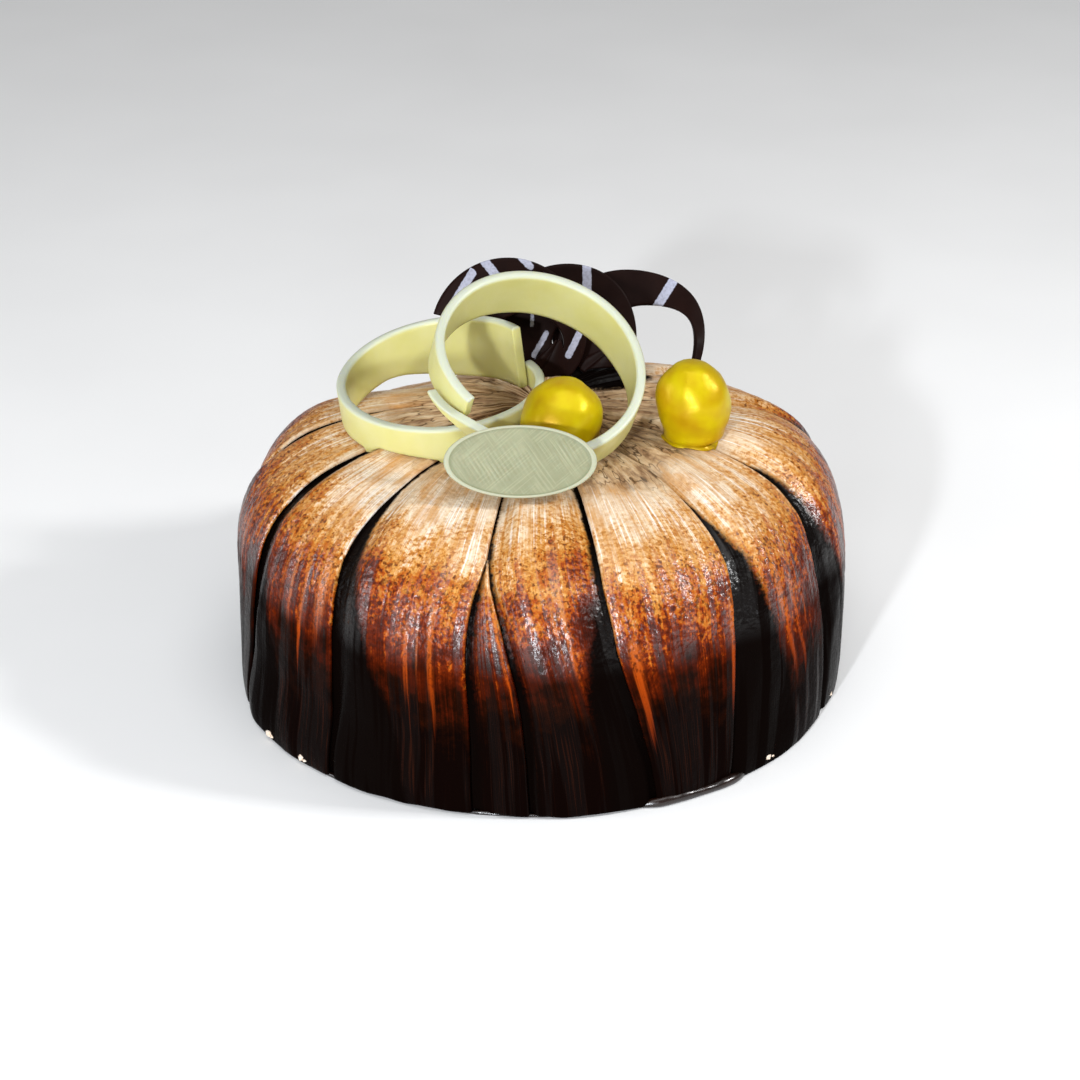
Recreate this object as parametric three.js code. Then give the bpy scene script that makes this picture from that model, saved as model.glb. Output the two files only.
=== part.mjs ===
import * as THREE from 'three';

// Chocolate dome cake. Millimetres, +Z up, base on z = 0, front towards -Y.

// Body: a near-vertical wall, a rounded shoulder and a shallow dish on the top.
const CAKE_RADIUS = 92;
const CAKE_HEIGHT = 80;
const WALL_HEIGHT = 29.5;
const SHOULDER_POWER_UP = 3.1;
const SHOULDER_POWER_OUT = 3.8;
const DISH_DEPTH = 4;
const DISH_RADIUS = 48;
const FOOT_TUCK = 2;
const BACK_SAG = 9;
const BACK_SAG_NEAR = 30;
const BACK_SAG_FAR = 80;
const BACK_SAG_LEFT = 0.35;
const BACK_SAG_BACK = 0.94;

// Strips: they start round a gathering point behind the middle and run to the hem.
const GATHER_Y = 21;
const SHOULDER_RADIUS = 80;
const SHOULDER_AT = 0.5;
const STRIP_START = 0.1;
const STRIP_THICKNESS = 1.5;
const SKIN_DEPTH = 4.5;
const GAP = 0.3;
const LIFT = STRIP_THICKNESS + GAP;
const TUCK_ANGLE = 4.5;
const CROWN = 1.1;
const HEM_HEIGHT = 0.6;
const STATIONS_TOP = 7;
const STATIONS_SIDE = 8;

// Seam angles in degrees from the front: at the shoulder, halfway down, at the hem.
const FRONT_SEAMS = [
  [-96, -97, -97],
  [-70, -70, -71],
  [-44, -42, -41],
  [-13, -13, -13],
  [12, 15, 21],
  [40.5, 37, 37],
  [67, 63.5, 66],
  [102, 101, 101],
];
const BACK_STRIPS = 6;
const TONGUE_EDGE = [-10.8, -4.5, -2];
const TONGUE_TUCK = 3;
const TONGUE_OVERLAP = 1.2;
const LOWEST_STRIP = 3;
const HIGHEST_STRIP = 4;

const CORE_SEGMENTS = 56;

// White rings: helical ribbons with a tapered width.
const RING_LYING = {
  centre: [-30.9, 7.2, 91.3],
  lean: 7.4,
  leanTowards: -63,
  radii: [28.3, 29.1, 29.9, 30.7, 31.5],
  rise: -13.2,
  start: 25.5,
  sweep: 365,
  thickness: 2.8,
  widths: [20.5, 20, 16, 11, 8],
  steps: 46,
};
const RING_STANDING = {
  centre: [-0.5, -12.4, 104.6],
  lean: 31,
  leanTowards: 21.2,
  radii: [34, 31.9, 31.4, 31.4, 31.3, 31, 29.6],
  rise: 8.4,
  start: 207,
  sweep: 391,
  thickness: 2.8,
  widths: [1.5, 9, 11, 17.5, 17.5, 15, 8],
  steps: 50,
};

// Dark curl: a leaning helical ribbon that stands behind the rings.
const CURL = {
  start: -0.225,
  turns: 2.825,
  origin: [-10, 38, 75],
  advance: [18.3, 6, -1],
  halfWidth: [19, -0.2],
  halfHeight: [18.7, -1.7],
  lean: 8,
  innerRatio: [0.3, 0.5, 0.62],
  innerShift: [5.8, -2.5, -1.4],
  footSweep: 18,
  footSweepFrom: 2,
  footRise: 5,
  thickness: 1.8,
  steps: 64,
};

// Gold berries: radius and height, with a small tip and a foot on the strips.
const BERRIES = [
  { name: 'berry_1', at: [4.6, -18.4], radius: 11.9, height: 22.6, phase: 0.4, tipLean: [1.6, 1] },
  { name: 'berry_2', at: [44.1, -9], radius: 10.8, height: 22.8, phase: 2.1, tipLean: [-0.6, 0.4] },
];
const BERRY_SEGMENTS = 22;
const BERRY_ROWS = 13;
const BERRY_WAIST = 0.5;

// Oval plaque, leaning back on the standing ring.
const PLAQUE = {
  foot: [-6, -50.2],
  halfWidth: 21.4,
  halfHeight: 10.2,
  thickness: 1.5,
  rimWidth: 0.9,
  rimHeight: 0.25,
  lean: 30,
  segments: 44,
};

const rad = (degrees) => (degrees * Math.PI) / 180;
const mix = (a, b, t) => a + (b - a) * t;
const clamp01 = (t) => Math.min(1, Math.max(0, t));
const smooth = (t) => clamp01(t) ** 2 * (3 - 2 * clamp01(t));

// A smooth value from a short list spread evenly over 0 to 1.
function along(list, t) {
  const at = clamp01(t) * (list.length - 1);
  const index = Math.min(list.length - 2, Math.floor(at));
  return mix(list[index], list[index + 1], smooth(at - index));
}

// The profile as radius, height and arc length, from the middle of the top to the base.
function makeProfile() {
  const points = [];
  const capSteps = 600;
  for (let i = 0; i <= capSteps; i += 1) {
    const turn = (Math.PI / 2) * (1 - i / capSteps);
    const r = i === 0 ? 0 : CAKE_RADIUS * Math.cos(turn) ** (2 / SHOULDER_POWER_OUT);
    const rise = (CAKE_HEIGHT - WALL_HEIGHT) * Math.sin(turn) ** (2 / SHOULDER_POWER_UP);
    const dish = DISH_DEPTH * (1 - smooth(r / DISH_RADIUS));
    points.push({ r, z: WALL_HEIGHT + rise - dish });
  }
  const wallSteps = 100;
  for (let i = 1; i <= wallSteps; i += 1) {
    const down = i / wallSteps;
    points.push({ r: CAKE_RADIUS - FOOT_TUCK * down ** 2, z: WALL_HEIGHT * (1 - down) });
  }
  let length = 0;
  points.forEach((point, i) => {
    if (i > 0) {
      length += Math.hypot(point.r - points[i - 1].r, point.z - points[i - 1].z);
    }
    point.s = length;
  });
  return points;
}

const PROFILE = makeProfile();
const PROFILE_LENGTH = PROFILE[PROFILE.length - 1].s;

function findInProfile(key, value) {
  let low = 0;
  let high = PROFILE.length - 1;
  while (high - low > 1) {
    const middle = Math.floor((low + high) / 2);
    if (PROFILE[middle][key] <= value) {
      low = middle;
    } else {
      high = middle;
    }
  }
  const span = PROFILE[high][key] - PROFILE[low][key];
  return low + (span > 0 ? clamp01((value - PROFILE[low][key]) / span) : 0);
}

function sampleProfile(position) {
  const low = Math.min(PROFILE.length - 2, Math.floor(position));
  const t = position - low;
  const a = PROFILE[low];
  const b = PROFILE[low + 1];
  return { r: mix(a.r, b.r, t), z: mix(a.z, b.z, t), s: mix(a.s, b.s, t) };
}

function profileAt(s) {
  const reach = 1.5;
  const here = sampleProfile(findInProfile('s', s));
  const before = sampleProfile(findInProfile('s', Math.max(0, s - reach)));
  const after = sampleProfile(findInProfile('s', Math.min(PROFILE_LENGTH, s + reach)));
  const size = Math.hypot(after.r - before.r, after.z - before.z);
  const normalR = (before.z - after.z) / size;
  const normalZ = (after.r - before.r) / size;
  return { r: here.r, z: here.z, normalR, normalZ };
}

// Arc length at a radius on the top, which is the part before the wall.
const CAP_POINTS = PROFILE.filter((point) => point.z >= WALL_HEIGHT && point.r < CAKE_RADIUS * 0.999);
function arcAtRadius(radius) {
  let low = 0;
  let high = CAP_POINTS.length - 1;
  while (high - low > 1) {
    const middle = Math.floor((low + high) / 2);
    if (CAP_POINTS[middle].r <= radius) {
      low = middle;
    } else {
      high = middle;
    }
  }
  const a = CAP_POINTS[low];
  const b = CAP_POINTS[high];
  return mix(a.s, b.s, clamp01((radius - a.r) / Math.max(1e-9, b.r - a.r)));
}

const SHOULDER_ARC = arcAtRadius(SHOULDER_RADIUS);

function backSag(x, y) {
  const reach = BACK_SAG_BACK * y - BACK_SAG_LEFT * x;
  return BACK_SAG * smooth((reach - BACK_SAG_NEAR) / (BACK_SAG_FAR - BACK_SAG_NEAR));
}

// A point of the cake: angle round the side, share of the way down, offset outwards.
function surfacePoint(angle, down, offset) {
  let bearing = rad(angle);
  let arc = 0;
  if (down < SHOULDER_AT) {
    const spread = down / SHOULDER_AT;
    const x = SHOULDER_RADIUS * spread * Math.sin(bearing);
    const y = GATHER_Y * (1 - spread) - SHOULDER_RADIUS * spread * Math.cos(bearing);
    bearing = Math.atan2(x, -y);
    arc = arcAtRadius(Math.hypot(x, y));
  } else {
    arc = mix(SHOULDER_ARC, PROFILE_LENGTH, (down - SHOULDER_AT) / (1 - SHOULDER_AT));
  }
  const p = profileAt(arc);
  const r = p.r + p.normalR * offset;
  const x = r * Math.sin(bearing);
  const y = -r * Math.cos(bearing);
  const z = p.z + p.normalZ * offset;
  return new THREE.Vector3(x, y, z - backSag(x, y) * (p.z / CAKE_HEIGHT) ** 2);
}

// Angle and share of the way down for a place on the top.
function placeOnTop(x, y) {
  const dy = y - GATHER_Y;
  const a = GATHER_Y ** 2 - SHOULDER_RADIUS ** 2;
  const b = 2 * dy * GATHER_Y;
  const c = x ** 2 + dy ** 2;
  const spread = (-b - Math.sqrt(b * b - 4 * a * c)) / (2 * a);
  const centreY = GATHER_Y * (1 - spread);
  return {
    angle: (Math.atan2(x, centreY - y) * 180) / Math.PI,
    down: spread * SHOULDER_AT,
  };
}

// Stations from the gathering point to the hem, shared by the core and the strips.
const STATIONS = [];
for (let i = 0; i <= STATIONS_TOP; i += 1) {
  STATIONS.push(mix(STRIP_START, SHOULDER_AT, (i / STATIONS_TOP) ** 0.85));
}
for (let i = 1; i <= STATIONS_SIDE; i += 1) {
  STATIONS.push(mix(SHOULDER_AT, 1, i / STATIONS_SIDE));
}

function allSeams() {
  const last = FRONT_SEAMS[FRONT_SEAMS.length - 1];
  const first = FRONT_SEAMS[0].map((angle) => angle + 360);
  const seams = FRONT_SEAMS.map((seam) => [...seam]);
  for (let i = 1; i < BACK_STRIPS; i += 1) {
    const wander = 2.2 * Math.sin(i * 2.3);
    const seam = last.map((angle, k) => mix(angle, first[k], i / BACK_STRIPS));
    seams.push(seam.map((angle, k) => angle + wander * (1 - k * 0.6)));
  }
  seams.push(first);
  return seams;
}

function seamAngle(seam, down) {
  const side = (down - SHOULDER_AT) / (1 - SHOULDER_AT);
  return side <= 0 ? seam[0] : along(seam, side);
}

// Knots across a strip: angle and inner offset from the core, for one station.
function stripKnots(strip, down) {
  const left = seamAngle(strip.left, down);
  const right = seamAngle(strip.right, down);
  const width = right - left;
  const crownShape = [0.12, 0.27, 0.42, 0.58, 0.73, 0.88];
  const spread = clamp01(down / SHOULDER_AT);
  const crown = CROWN * Math.sqrt(spread);
  const knots = [];
  if (strip.leftUnder) {
    knots.push([strip.leftTuck(down), GAP]);
    knots.push([left + 0.5, GAP]);
  } else {
    knots.push([left, GAP + LIFT]);
    knots.push([left + 0.04 * width, GAP + LIFT]);
  }
  crownShape.forEach((share) => {
    const rise = strip.leftUnder ? smooth(share / 0.3) : 1;
    const fall = strip.rightUnder ? smooth((1 - share) / 0.3) : 1;
    const arch = LIFT + crown * Math.sin(Math.PI * share);
    knots.push([left + share * width, GAP + arch * rise * fall]);
  });
  if (strip.rightUnder) {
    knots.push([right - 0.5, GAP]);
    knots.push([right + TUCK_ANGLE, GAP]);
  } else {
    knots.push([right - 0.04 * width, GAP + LIFT]);
    knots.push([right, GAP + LIFT]);
  }
  return knots;
}

function tongueKnots(strip, down) {
  const left = seamAngle(strip.left, down);
  const right = seamAngle(strip.right, down);
  const inner = right - TONGUE_OVERLAP - 0.25;
  return [
    [left - TONGUE_TUCK, GAP],
    [left + 0.3, GAP],
    [mix(left + 0.3, inner, 0.5), GAP + 0.75 * LIFT],
    [inner, GAP + LIFT],
    [right, GAP + LIFT],
  ];
}

function makeStrips() {
  const seams = allSeams();
  const strips = [];
  for (let i = 0; i < seams.length - 1; i += 1) {
    const strip = {
      name: `strip_${String(i + 1).padStart(2, '0')}`,
      left: seams[i],
      right: seams[i + 1],
      leftUnder: i !== HIGHEST_STRIP,
      rightUnder: i === LOWEST_STRIP,
      firstStation: 0,
      knots: stripKnots,
    };
    strip.leftTuck = (down) => seamAngle(strip.left, down) - TUCK_ANGLE;
    strips.push(strip);
  }
  const lowest = strips[LOWEST_STRIP];
  const dividing = lowest.left;
  lowest.left = [dividing[0], TONGUE_EDGE[1], TONGUE_EDGE[2]];
  lowest.leftTuck = (down) => {
    const onTop = down < SHOULDER_AT - 1e-6;
    return onTop ? dividing[0] - TONGUE_TUCK : seamAngle(TONGUE_EDGE, down) - TONGUE_OVERLAP;
  };
  const plainKnots = lowest.knots;
  lowest.knots = (strip, down) => {
    const edge = down < SHOULDER_AT - 1e-6 ? dividing : TONGUE_EDGE;
    return plainKnots({ ...strip, left: edge }, down);
  };
  strips.push({
    name: 'strip_narrow',
    left: dividing,
    right: TONGUE_EDGE,
    firstStation: STATIONS_TOP,
    knots: tongueKnots,
  });
  return strips;
}

const STRIPS = makeStrips();

// Highest outer offset of any strip at a place, measured from the core.
function coverOffset(angle, down) {
  let highest = 0;
  STRIPS.forEach((strip) => {
    if (down < STATIONS[strip.firstStation]) {
      return;
    }
    const knots = strip.knots(strip, down);
    [angle - 360, angle, angle + 360].forEach((turned) => {
      for (let i = 0; i < knots.length - 1; i += 1) {
        const [a, offsetA] = knots[i];
        const [b, offsetB] = knots[i + 1];
        if (turned >= a && turned <= b) {
          const here = mix(offsetA, offsetB, (turned - a) / Math.max(1e-9, b - a));
          highest = Math.max(highest, here + STRIP_THICKNESS);
        }
      }
    });
  });
  return highest;
}

function coverHeight(x, y) {
  const place = placeOnTop(x, y);
  const offset = coverOffset(place.angle, place.down);
  return surfacePoint(place.angle, place.down, offset - SKIN_DEPTH).z;
}

function highestCoverNear(x, y, reach) {
  let highest = coverHeight(x, y);
  for (let i = 0; i < 8; i += 1) {
    const turn = (i / 8) * 2 * Math.PI;
    highest = Math.max(highest, coverHeight(x + reach * Math.cos(turn), y + reach * Math.sin(turn)));
  }
  return highest;
}

function solid(name, positions, triangles, colour, roughness) {
  const geometry = new THREE.BufferGeometry();
  const numbers = positions.flatMap((p) => [p.x, p.y, p.z]);
  geometry.setAttribute('position', new THREE.Float32BufferAttribute(numbers, 3));
  geometry.setIndex(triangles);
  geometry.computeVertexNormals();
  const material = new THREE.MeshStandardMaterial({ color: colour, roughness, metalness: 0 });
  const mesh = new THREE.Mesh(geometry, material);
  mesh.name = name;
  return mesh;
}

// A closed shell from rows of outer and inner points.
function shell(name, outer, inner, colour, roughness) {
  const rows = outer.length;
  const columns = outer[0].length;
  const positions = [...outer.flat(), ...inner.flat()];
  const half = rows * columns;
  const at = (row, column) => row * columns + column;
  const triangles = [];
  const quad = (a, b, c, d) => triangles.push(a, b, c, a, c, d);
  const edge = (a, b) => quad(a, b, half + b, half + a);
  for (let row = 0; row < rows - 1; row += 1) {
    for (let column = 0; column < columns - 1; column += 1) {
      const a = at(row, column);
      const b = at(row + 1, column);
      const c = at(row + 1, column + 1);
      const d = at(row, column + 1);
      quad(a, b, c, d);
      quad(half + d, half + c, half + b, half + a);
    }
    edge(at(row + 1, 0), at(row, 0));
    edge(at(row, columns - 1), at(row + 1, columns - 1));
  }
  for (let column = 0; column < columns - 1; column += 1) {
    edge(at(0, column), at(0, column + 1));
    edge(at(rows - 1, column + 1), at(rows - 1, column));
  }
  return solid(name, positions, triangles, colour, roughness);
}

// A closed skin from rings of points, with a point at each end.
function closedRings(name, start, rings, end, colour, roughness) {
  const count = rings[0].length;
  const positions = [start, ...rings.flat(), end];
  const at = (ring, i) => 1 + ring * count + (i % count);
  const triangles = [];
  for (let i = 0; i < count; i += 1) {
    triangles.push(0, at(0, i), at(0, i + 1));
    triangles.push(positions.length - 1, at(rings.length - 1, i + 1), at(rings.length - 1, i));
    for (let ring = 0; ring < rings.length - 1; ring += 1) {
      triangles.push(at(ring, i), at(ring + 1, i), at(ring + 1, i + 1));
      triangles.push(at(ring, i), at(ring + 1, i + 1), at(ring, i + 1));
    }
  }
  return solid(name, positions, triangles, colour, roughness);
}

// A bar with a four-cornered section, from a list of sections.
function bar(name, sections, colour, roughness) {
  const positions = sections.flat();
  const triangles = [];
  const quad = (a, b, c, d) => triangles.push(a, b, c, a, c, d);
  for (let i = 0; i < sections.length - 1; i += 1) {
    for (let k = 0; k < 4; k += 1) {
      const next = (k + 1) % 4;
      quad(i * 4 + k, i * 4 + next, (i + 1) * 4 + next, (i + 1) * 4 + k);
    }
  }
  const last = (sections.length - 1) * 4;
  quad(3, 2, 1, 0);
  quad(last, last + 1, last + 2, last + 3);
  return solid(name, positions, triangles, colour, roughness);
}

function makeCore() {
  const rings = STATIONS.map((down) => {
    const ring = [];
    for (let i = 0; i < CORE_SEGMENTS; i += 1) {
      ring.push(surfacePoint((i / CORE_SEGMENTS) * 360, down, -SKIN_DEPTH));
    }
    return ring;
  });
  rings[rings.length - 1].forEach((point) => point.setZ(0));
  const top = surfacePoint(0, 0, -SKIN_DEPTH);
  return closedRings('cake_core', top, rings, new THREE.Vector3(0, 0, 0), 0x1c0d08, 0.35);
}

function makeStrip(strip, index) {
  const outer = [];
  const inner = [];
  STATIONS.slice(strip.firstStation).forEach((down, row, used) => {
    const knots = strip.knots(strip, down);
    const outerRow = [];
    const innerRow = [];
    knots.forEach(([angle, offset]) => {
      const hem = row === used.length - 1;
      const insidePoint = surfacePoint(angle, down, offset - SKIN_DEPTH);
      const outsidePoint = surfacePoint(angle, down, offset + STRIP_THICKNESS - SKIN_DEPTH);
      if (hem) {
        insidePoint.setZ(HEM_HEIGHT);
        outsidePoint.setZ(HEM_HEIGHT);
      }
      innerRow.push(insidePoint);
      outerRow.push(outsidePoint);
    });
    outer.push(outerRow);
    inner.push(innerRow);
  });
  const colour = new THREE.Color(0x5a240c).offsetHSL(0, 0, 0.015 * ((index % 3) - 1));
  return shell(strip.name, outer, inner, colour, 0.3);
}

function leaningFrame(lean, towards) {
  const axis = new THREE.Vector3(
    Math.sin(rad(lean)) * Math.sin(rad(towards)),
    -Math.sin(rad(lean)) * Math.cos(rad(towards)),
    Math.cos(rad(lean)),
  );
  const across = new THREE.Vector3(0, 1, 0).cross(axis).normalize();
  const back = axis.clone().cross(across);
  return { axis, across, back };
}

// How far a ribbon's edge may go down before it meets the strips.
function clearWidth(points, axis, wanted) {
  let width = wanted;
  points.forEach((point) => {
    for (let tries = 0; tries < 120; tries += 1) {
      const edge = point.clone().addScaledVector(axis, -width);
      if (width <= 0.8 || edge.z >= highestCoverNear(edge.x, edge.y, 1.6) + GAP + 0.1) {
        break;
      }
      width -= 0.2;
    }
  });
  return Math.max(width, 0.8);
}

function makeRing(name, ring, colour) {
  const { axis, across, back } = leaningFrame(ring.lean, ring.leanTowards);
  const sections = [];
  for (let i = 0; i <= ring.steps; i += 1) {
    const t = i / ring.steps;
    const turn = rad(ring.start + ring.sweep * t);
    const turns = (ring.sweep / 360) * (t - 0.5);
    const out = across.clone().multiplyScalar(Math.cos(turn)).addScaledVector(back, Math.sin(turn));
    const radius = along(ring.radii, t);
    const middle = new THREE.Vector3(...ring.centre).addScaledVector(axis, ring.rise * turns);
    const outside = middle.clone().addScaledVector(out, radius);
    const inside = middle.clone().addScaledVector(out, radius - ring.thickness);
    const width = clearWidth([outside, inside], axis, along(ring.widths, t));
    sections.push([
      outside,
      outside.clone().addScaledVector(axis, -width),
      inside.clone().addScaledVector(axis, -width),
      inside,
    ]);
  }
  return bar(name, sections, colour, 0.35);
}

function curlPoint(t, ratio, shift) {
  const turn = 2 * Math.PI * t;
  const halfWidth = CURL.halfWidth[0] + CURL.halfWidth[1] * t;
  const halfHeight = CURL.halfHeight[0] + CURL.halfHeight[1] * t;
  const forward = smooth((t - CURL.footSweepFrom) * 2);
  return new THREE.Vector3(
    CURL.origin[0] + CURL.advance[0] * t + shift[0] + halfWidth * ratio * Math.sin(turn),
    CURL.origin[1] + CURL.advance[1] * t + shift[1] + CURL.lean * ratio * Math.cos(turn)
      - CURL.footSweep * forward,
    CURL.origin[2] + CURL.advance[2] * t + shift[2] + halfHeight * (1 + ratio * Math.cos(turn))
      + CURL.footRise * Math.sin(Math.PI * forward),
  );
}

function makeCurl() {
  const sections = [];
  for (let i = 0; i <= CURL.steps; i += 1) {
    const t = CURL.start + (CURL.turns * i) / CURL.steps;
    const outer = curlPoint(t, 1, [0, 0, 0]);
    const ratio = along(CURL.innerRatio, (t - 1) / 2.5 + 0.1);
    const inner = curlPoint(t, ratio, CURL.innerShift);
    const before = curlPoint(t - 0.01, 1, [0, 0, 0]);
    const ahead = curlPoint(t + 0.01, 1, [0, 0, 0]).sub(before).normalize();
    const across = inner.clone().sub(outer).normalize();
    const normal = ahead.clone().cross(across).normalize().multiplyScalar(CURL.thickness);
    const section = [outer, inner, inner.clone().add(normal), outer.clone().add(normal)];
    let raise = 0;
    section.forEach((point) => {
      raise = Math.max(raise, coverHeight(point.x, point.y) + GAP + 0.15 - point.z);
    });
    section.forEach((point) => point.setZ(point.z + raise));
    sections.push(section);
  }
  return bar('dark_curl', sections, 0x26160f, 0.3);
}

function makeBerry(berry) {
  const [x, y] = berry.at;
  const base = highestCoverNear(x, y, berry.radius * 0.6) + GAP + 0.1;
  const rings = [];
  for (let row = 0; row < BERRY_ROWS; row += 1) {
    const t = 0.5 - 0.5 * Math.cos((Math.PI * row) / BERRY_ROWS);
    const reach = t < BERRY_WAIST ? BERRY_WAIST / 0.74 : 1 - BERRY_WAIST;
    const round = Math.sqrt(1 - ((t - BERRY_WAIST) / reach) ** 2);
    const tip = 0.07 * Math.exp(-(((t - 0.97) / 0.05) ** 2));
    const foot = 0.07 * Math.exp(-((t / 0.1) ** 2));
    const ring = [];
    for (let i = 0; i < BERRY_SEGMENTS; i += 1) {
      const around = (i / BERRY_SEGMENTS) * 2 * Math.PI;
      const knob = 1 + 0.035 * Math.sin(3 * around + berry.phase + 2 * t) * round;
      const radius = berry.radius * (round + tip + foot) * knob;
      ring.push(new THREE.Vector3(
        x + berry.tipLean[0] * t + radius * Math.cos(around),
        y + berry.tipLean[1] * t + radius * Math.sin(around),
        base + berry.height * t,
      ));
    }
    rings.push(ring);
  }
  const start = new THREE.Vector3(x, y, base);
  const end = new THREE.Vector3(x + berry.tipLean[0], y + berry.tipLean[1], base + berry.height * 1.02);
  return closedRings(berry.name, end, rings.reverse(), start, 0xe0b400, 0.25);
}

function makePlaque() {
  const { foot, halfWidth, halfHeight, thickness, rimWidth, rimHeight, lean, segments } = PLAQUE;
  const up = new THREE.Vector3(0, Math.sin(rad(lean)), Math.cos(rad(lean)));
  const front = new THREE.Vector3(0, -Math.cos(rad(lean)), Math.sin(rad(lean)));
  const footHeight = highestCoverNear(foot[0], foot[1], 6) + GAP + 0.6;
  const centre = new THREE.Vector3(foot[0], foot[1], footHeight).addScaledVector(up, halfHeight);
  const oval = (inset, depth) => {
    const ring = [];
    for (let i = 0; i < segments; i += 1) {
      const turn = (i / segments) * 2 * Math.PI;
      ring.push(centre.clone()
        .add(new THREE.Vector3((halfWidth - inset) * Math.cos(turn), 0, 0))
        .addScaledVector(up, (halfHeight - inset) * Math.sin(turn))
        .addScaledVector(front, depth));
    }
    return ring;
  };
  const face = centre.clone().addScaledVector(front, thickness - rimHeight);
  const rings = [
    oval(rimWidth + 0.3, thickness - rimHeight),
    oval(rimWidth, thickness),
    oval(0.25, thickness),
    oval(0, thickness - 0.25),
    oval(0, 0),
  ];
  return closedRings('plaque', face, rings, centre, 0xdfe0bd, 0.5);
}

const cake = new THREE.Group();
cake.name = 'ganache_dome_cake';
cake.add(makeCore());
STRIPS.forEach((strip, index) => cake.add(makeStrip(strip, index)));
cake.add(makeRing('ring_lying', RING_LYING, 0xe6e3ac));
cake.add(makeRing('ring_standing', RING_STANDING, 0xe6e3ac));
cake.add(makeCurl());
BERRIES.forEach((berry) => cake.add(makeBerry(berry)));
cake.add(makePlaque());

export default cake;
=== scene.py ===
import math
from bisect import bisect_right
from random import Random

import bmesh
import bpy
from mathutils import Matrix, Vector, noise


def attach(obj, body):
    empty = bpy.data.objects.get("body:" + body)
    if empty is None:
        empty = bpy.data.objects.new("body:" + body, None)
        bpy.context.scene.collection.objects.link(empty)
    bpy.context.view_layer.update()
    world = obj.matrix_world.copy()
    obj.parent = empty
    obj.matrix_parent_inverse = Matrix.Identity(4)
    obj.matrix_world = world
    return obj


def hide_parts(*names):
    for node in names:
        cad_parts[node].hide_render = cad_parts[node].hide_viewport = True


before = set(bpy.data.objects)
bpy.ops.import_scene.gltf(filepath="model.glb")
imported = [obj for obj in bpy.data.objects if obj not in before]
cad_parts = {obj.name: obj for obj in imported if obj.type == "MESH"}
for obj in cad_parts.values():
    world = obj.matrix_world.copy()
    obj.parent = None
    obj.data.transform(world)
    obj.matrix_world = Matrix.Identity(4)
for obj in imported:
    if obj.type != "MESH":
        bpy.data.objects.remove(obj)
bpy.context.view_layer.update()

# A ganache dome cake. Sizes are millimetres, +Z up, front towards -Y, and MM makes them metres.
MM = 0.001

# Body: a near-vertical wall, a rounded shoulder and a shallow dish on the top.
CAKE_RADIUS = 92
CAKE_HEIGHT = 80
WALL_HEIGHT = 29.5
SHOULDER_POWER_UP = 3.1
SHOULDER_POWER_OUT = 3.8
DISH_DEPTH = 4
DISH_RADIUS = 48
FOOT_TUCK = 2
BACK_SAG = 9
BACK_SAG_NEAR = 30
BACK_SAG_FAR = 80
BACK_SAG_LEFT = 0.35
BACK_SAG_BACK = 0.94
# Hollows in the top, and humps where the depth is below 0: x, y, reach and depth.
HOLLOWS = ((-44, 50, 22, 2.2), (-78, 34, 24, -5), (85, 4, 28, -6.5))

# The foot spreads a little, most of it at the front left: bearings in degrees and millimetres.
SPREAD_BEARINGS = (-180, -100, -82, -66, -50, -30, 0, 30, 60, 100, 180)
SPREAD = (0, 0, 1.6, 3.8, 4.2, 3.6, 2.4, 1.5, 1.1, 0.4, 0)
SPREAD_HEIGHT = 24

# Strips: they start round a gathering point behind the middle and run to the hem. Each one is
# crowned across, rises over what it covers and dips under what covers it. The runs are shares of
# its width, or of the way down from the gathering point to the hem, where the shoulder is halfway.
GATHER_Y = 21
SHOULDER_RADIUS = 80
SHOULDER_AT = 0.5
STRIP_START = 0.022
STRIP_THICKNESS = 1.5
SKIN_DEPTH = 4.5
GAP = 0.3
LIFT = STRIP_THICKNESS + GAP
TUCK_ANGLE = 4.5
CROWN = 1.2
PILLOW = 0.7
FOOT_CROWN = 0.4
LIFT_RUN = 0.16
RISE_RUN = 0.27
FALL_RUN = 0.3
FOOT_RISE_RUN = 0.07
FOOT_FALL_RUN = 0.1
FOOT_FROM = 0.62
FOOT_RUN = 0.33
INSET = 1.0
INSET_UNTIL = 0.7
INSET_FADE = 0.25
EDGE_ROLL = 0.9
EDGE_BUNCH = 0.45
EDGE_THIN = 0.35
EDGE_THIN_RUN = 1.6
UNDERSIDE_GAP = 0.15
HEM_HEIGHT = 0.7
HEM_WOBBLE = 0.5
STRIP_COLUMNS = 80
STRIP_ROWS = 220
REFERENCE_WIDTH = 44

# Relief of a strip: how far each kind stands proud, and the arc length that the bark reaches.
RIDGE_HEIGHT = 0.14
PIMPLE_HEIGHT = 0.12
PLEAT_HEIGHT = 0.6
WAVE_HEIGHT = 0.35
BARK_REACH = 36
BARK_EXTRA = 12
BARK_FADE = 14

# Seam angles in degrees from the front, at these shares of the way from shoulder to hem.
# Shares below 0 are on the top.
SEAM_SHARES = (-0.4, -0.07, 0.03, 0.14, 0.28, 0.42, 0.56, 0.77, 1.0)
FRONT_SEAMS = (
    (-96, -96, -96.1, -96.4, -96.8, -97, -97, -97, -97),
    (-70.4, -70.4, -70.1, -69.2, -68.8, -69.2, -70.7, -71, -71),
    (-44.2, -44.2, -43.9, -42.7, -41.8, -41.5, -41.3, -41, -41),
    (-12.6, -12, -13.3, -13.7, -13.8, -13.5, -13, -12.6, -12.2),
    (12.2, 12.2, 12.3, 12.8, 13.5, 15.1, 17, 19.3, 21),
    (40.3, 40.3, 40, 38.6, 37.4, 37.2, 37.2, 36.9, 36.5),
    (67.7, 67.7, 66.8, 64.3, 63, 63.5, 65.6, 66, 66),
    (102, 102, 102, 101.8, 101.5, 101, 101, 101, 101),
)
BACK_STRIPS = 6
BACK_WANDER = 2.2
LOWEST_STRIP = 3
HIGHEST_STRIP = 4

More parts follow.
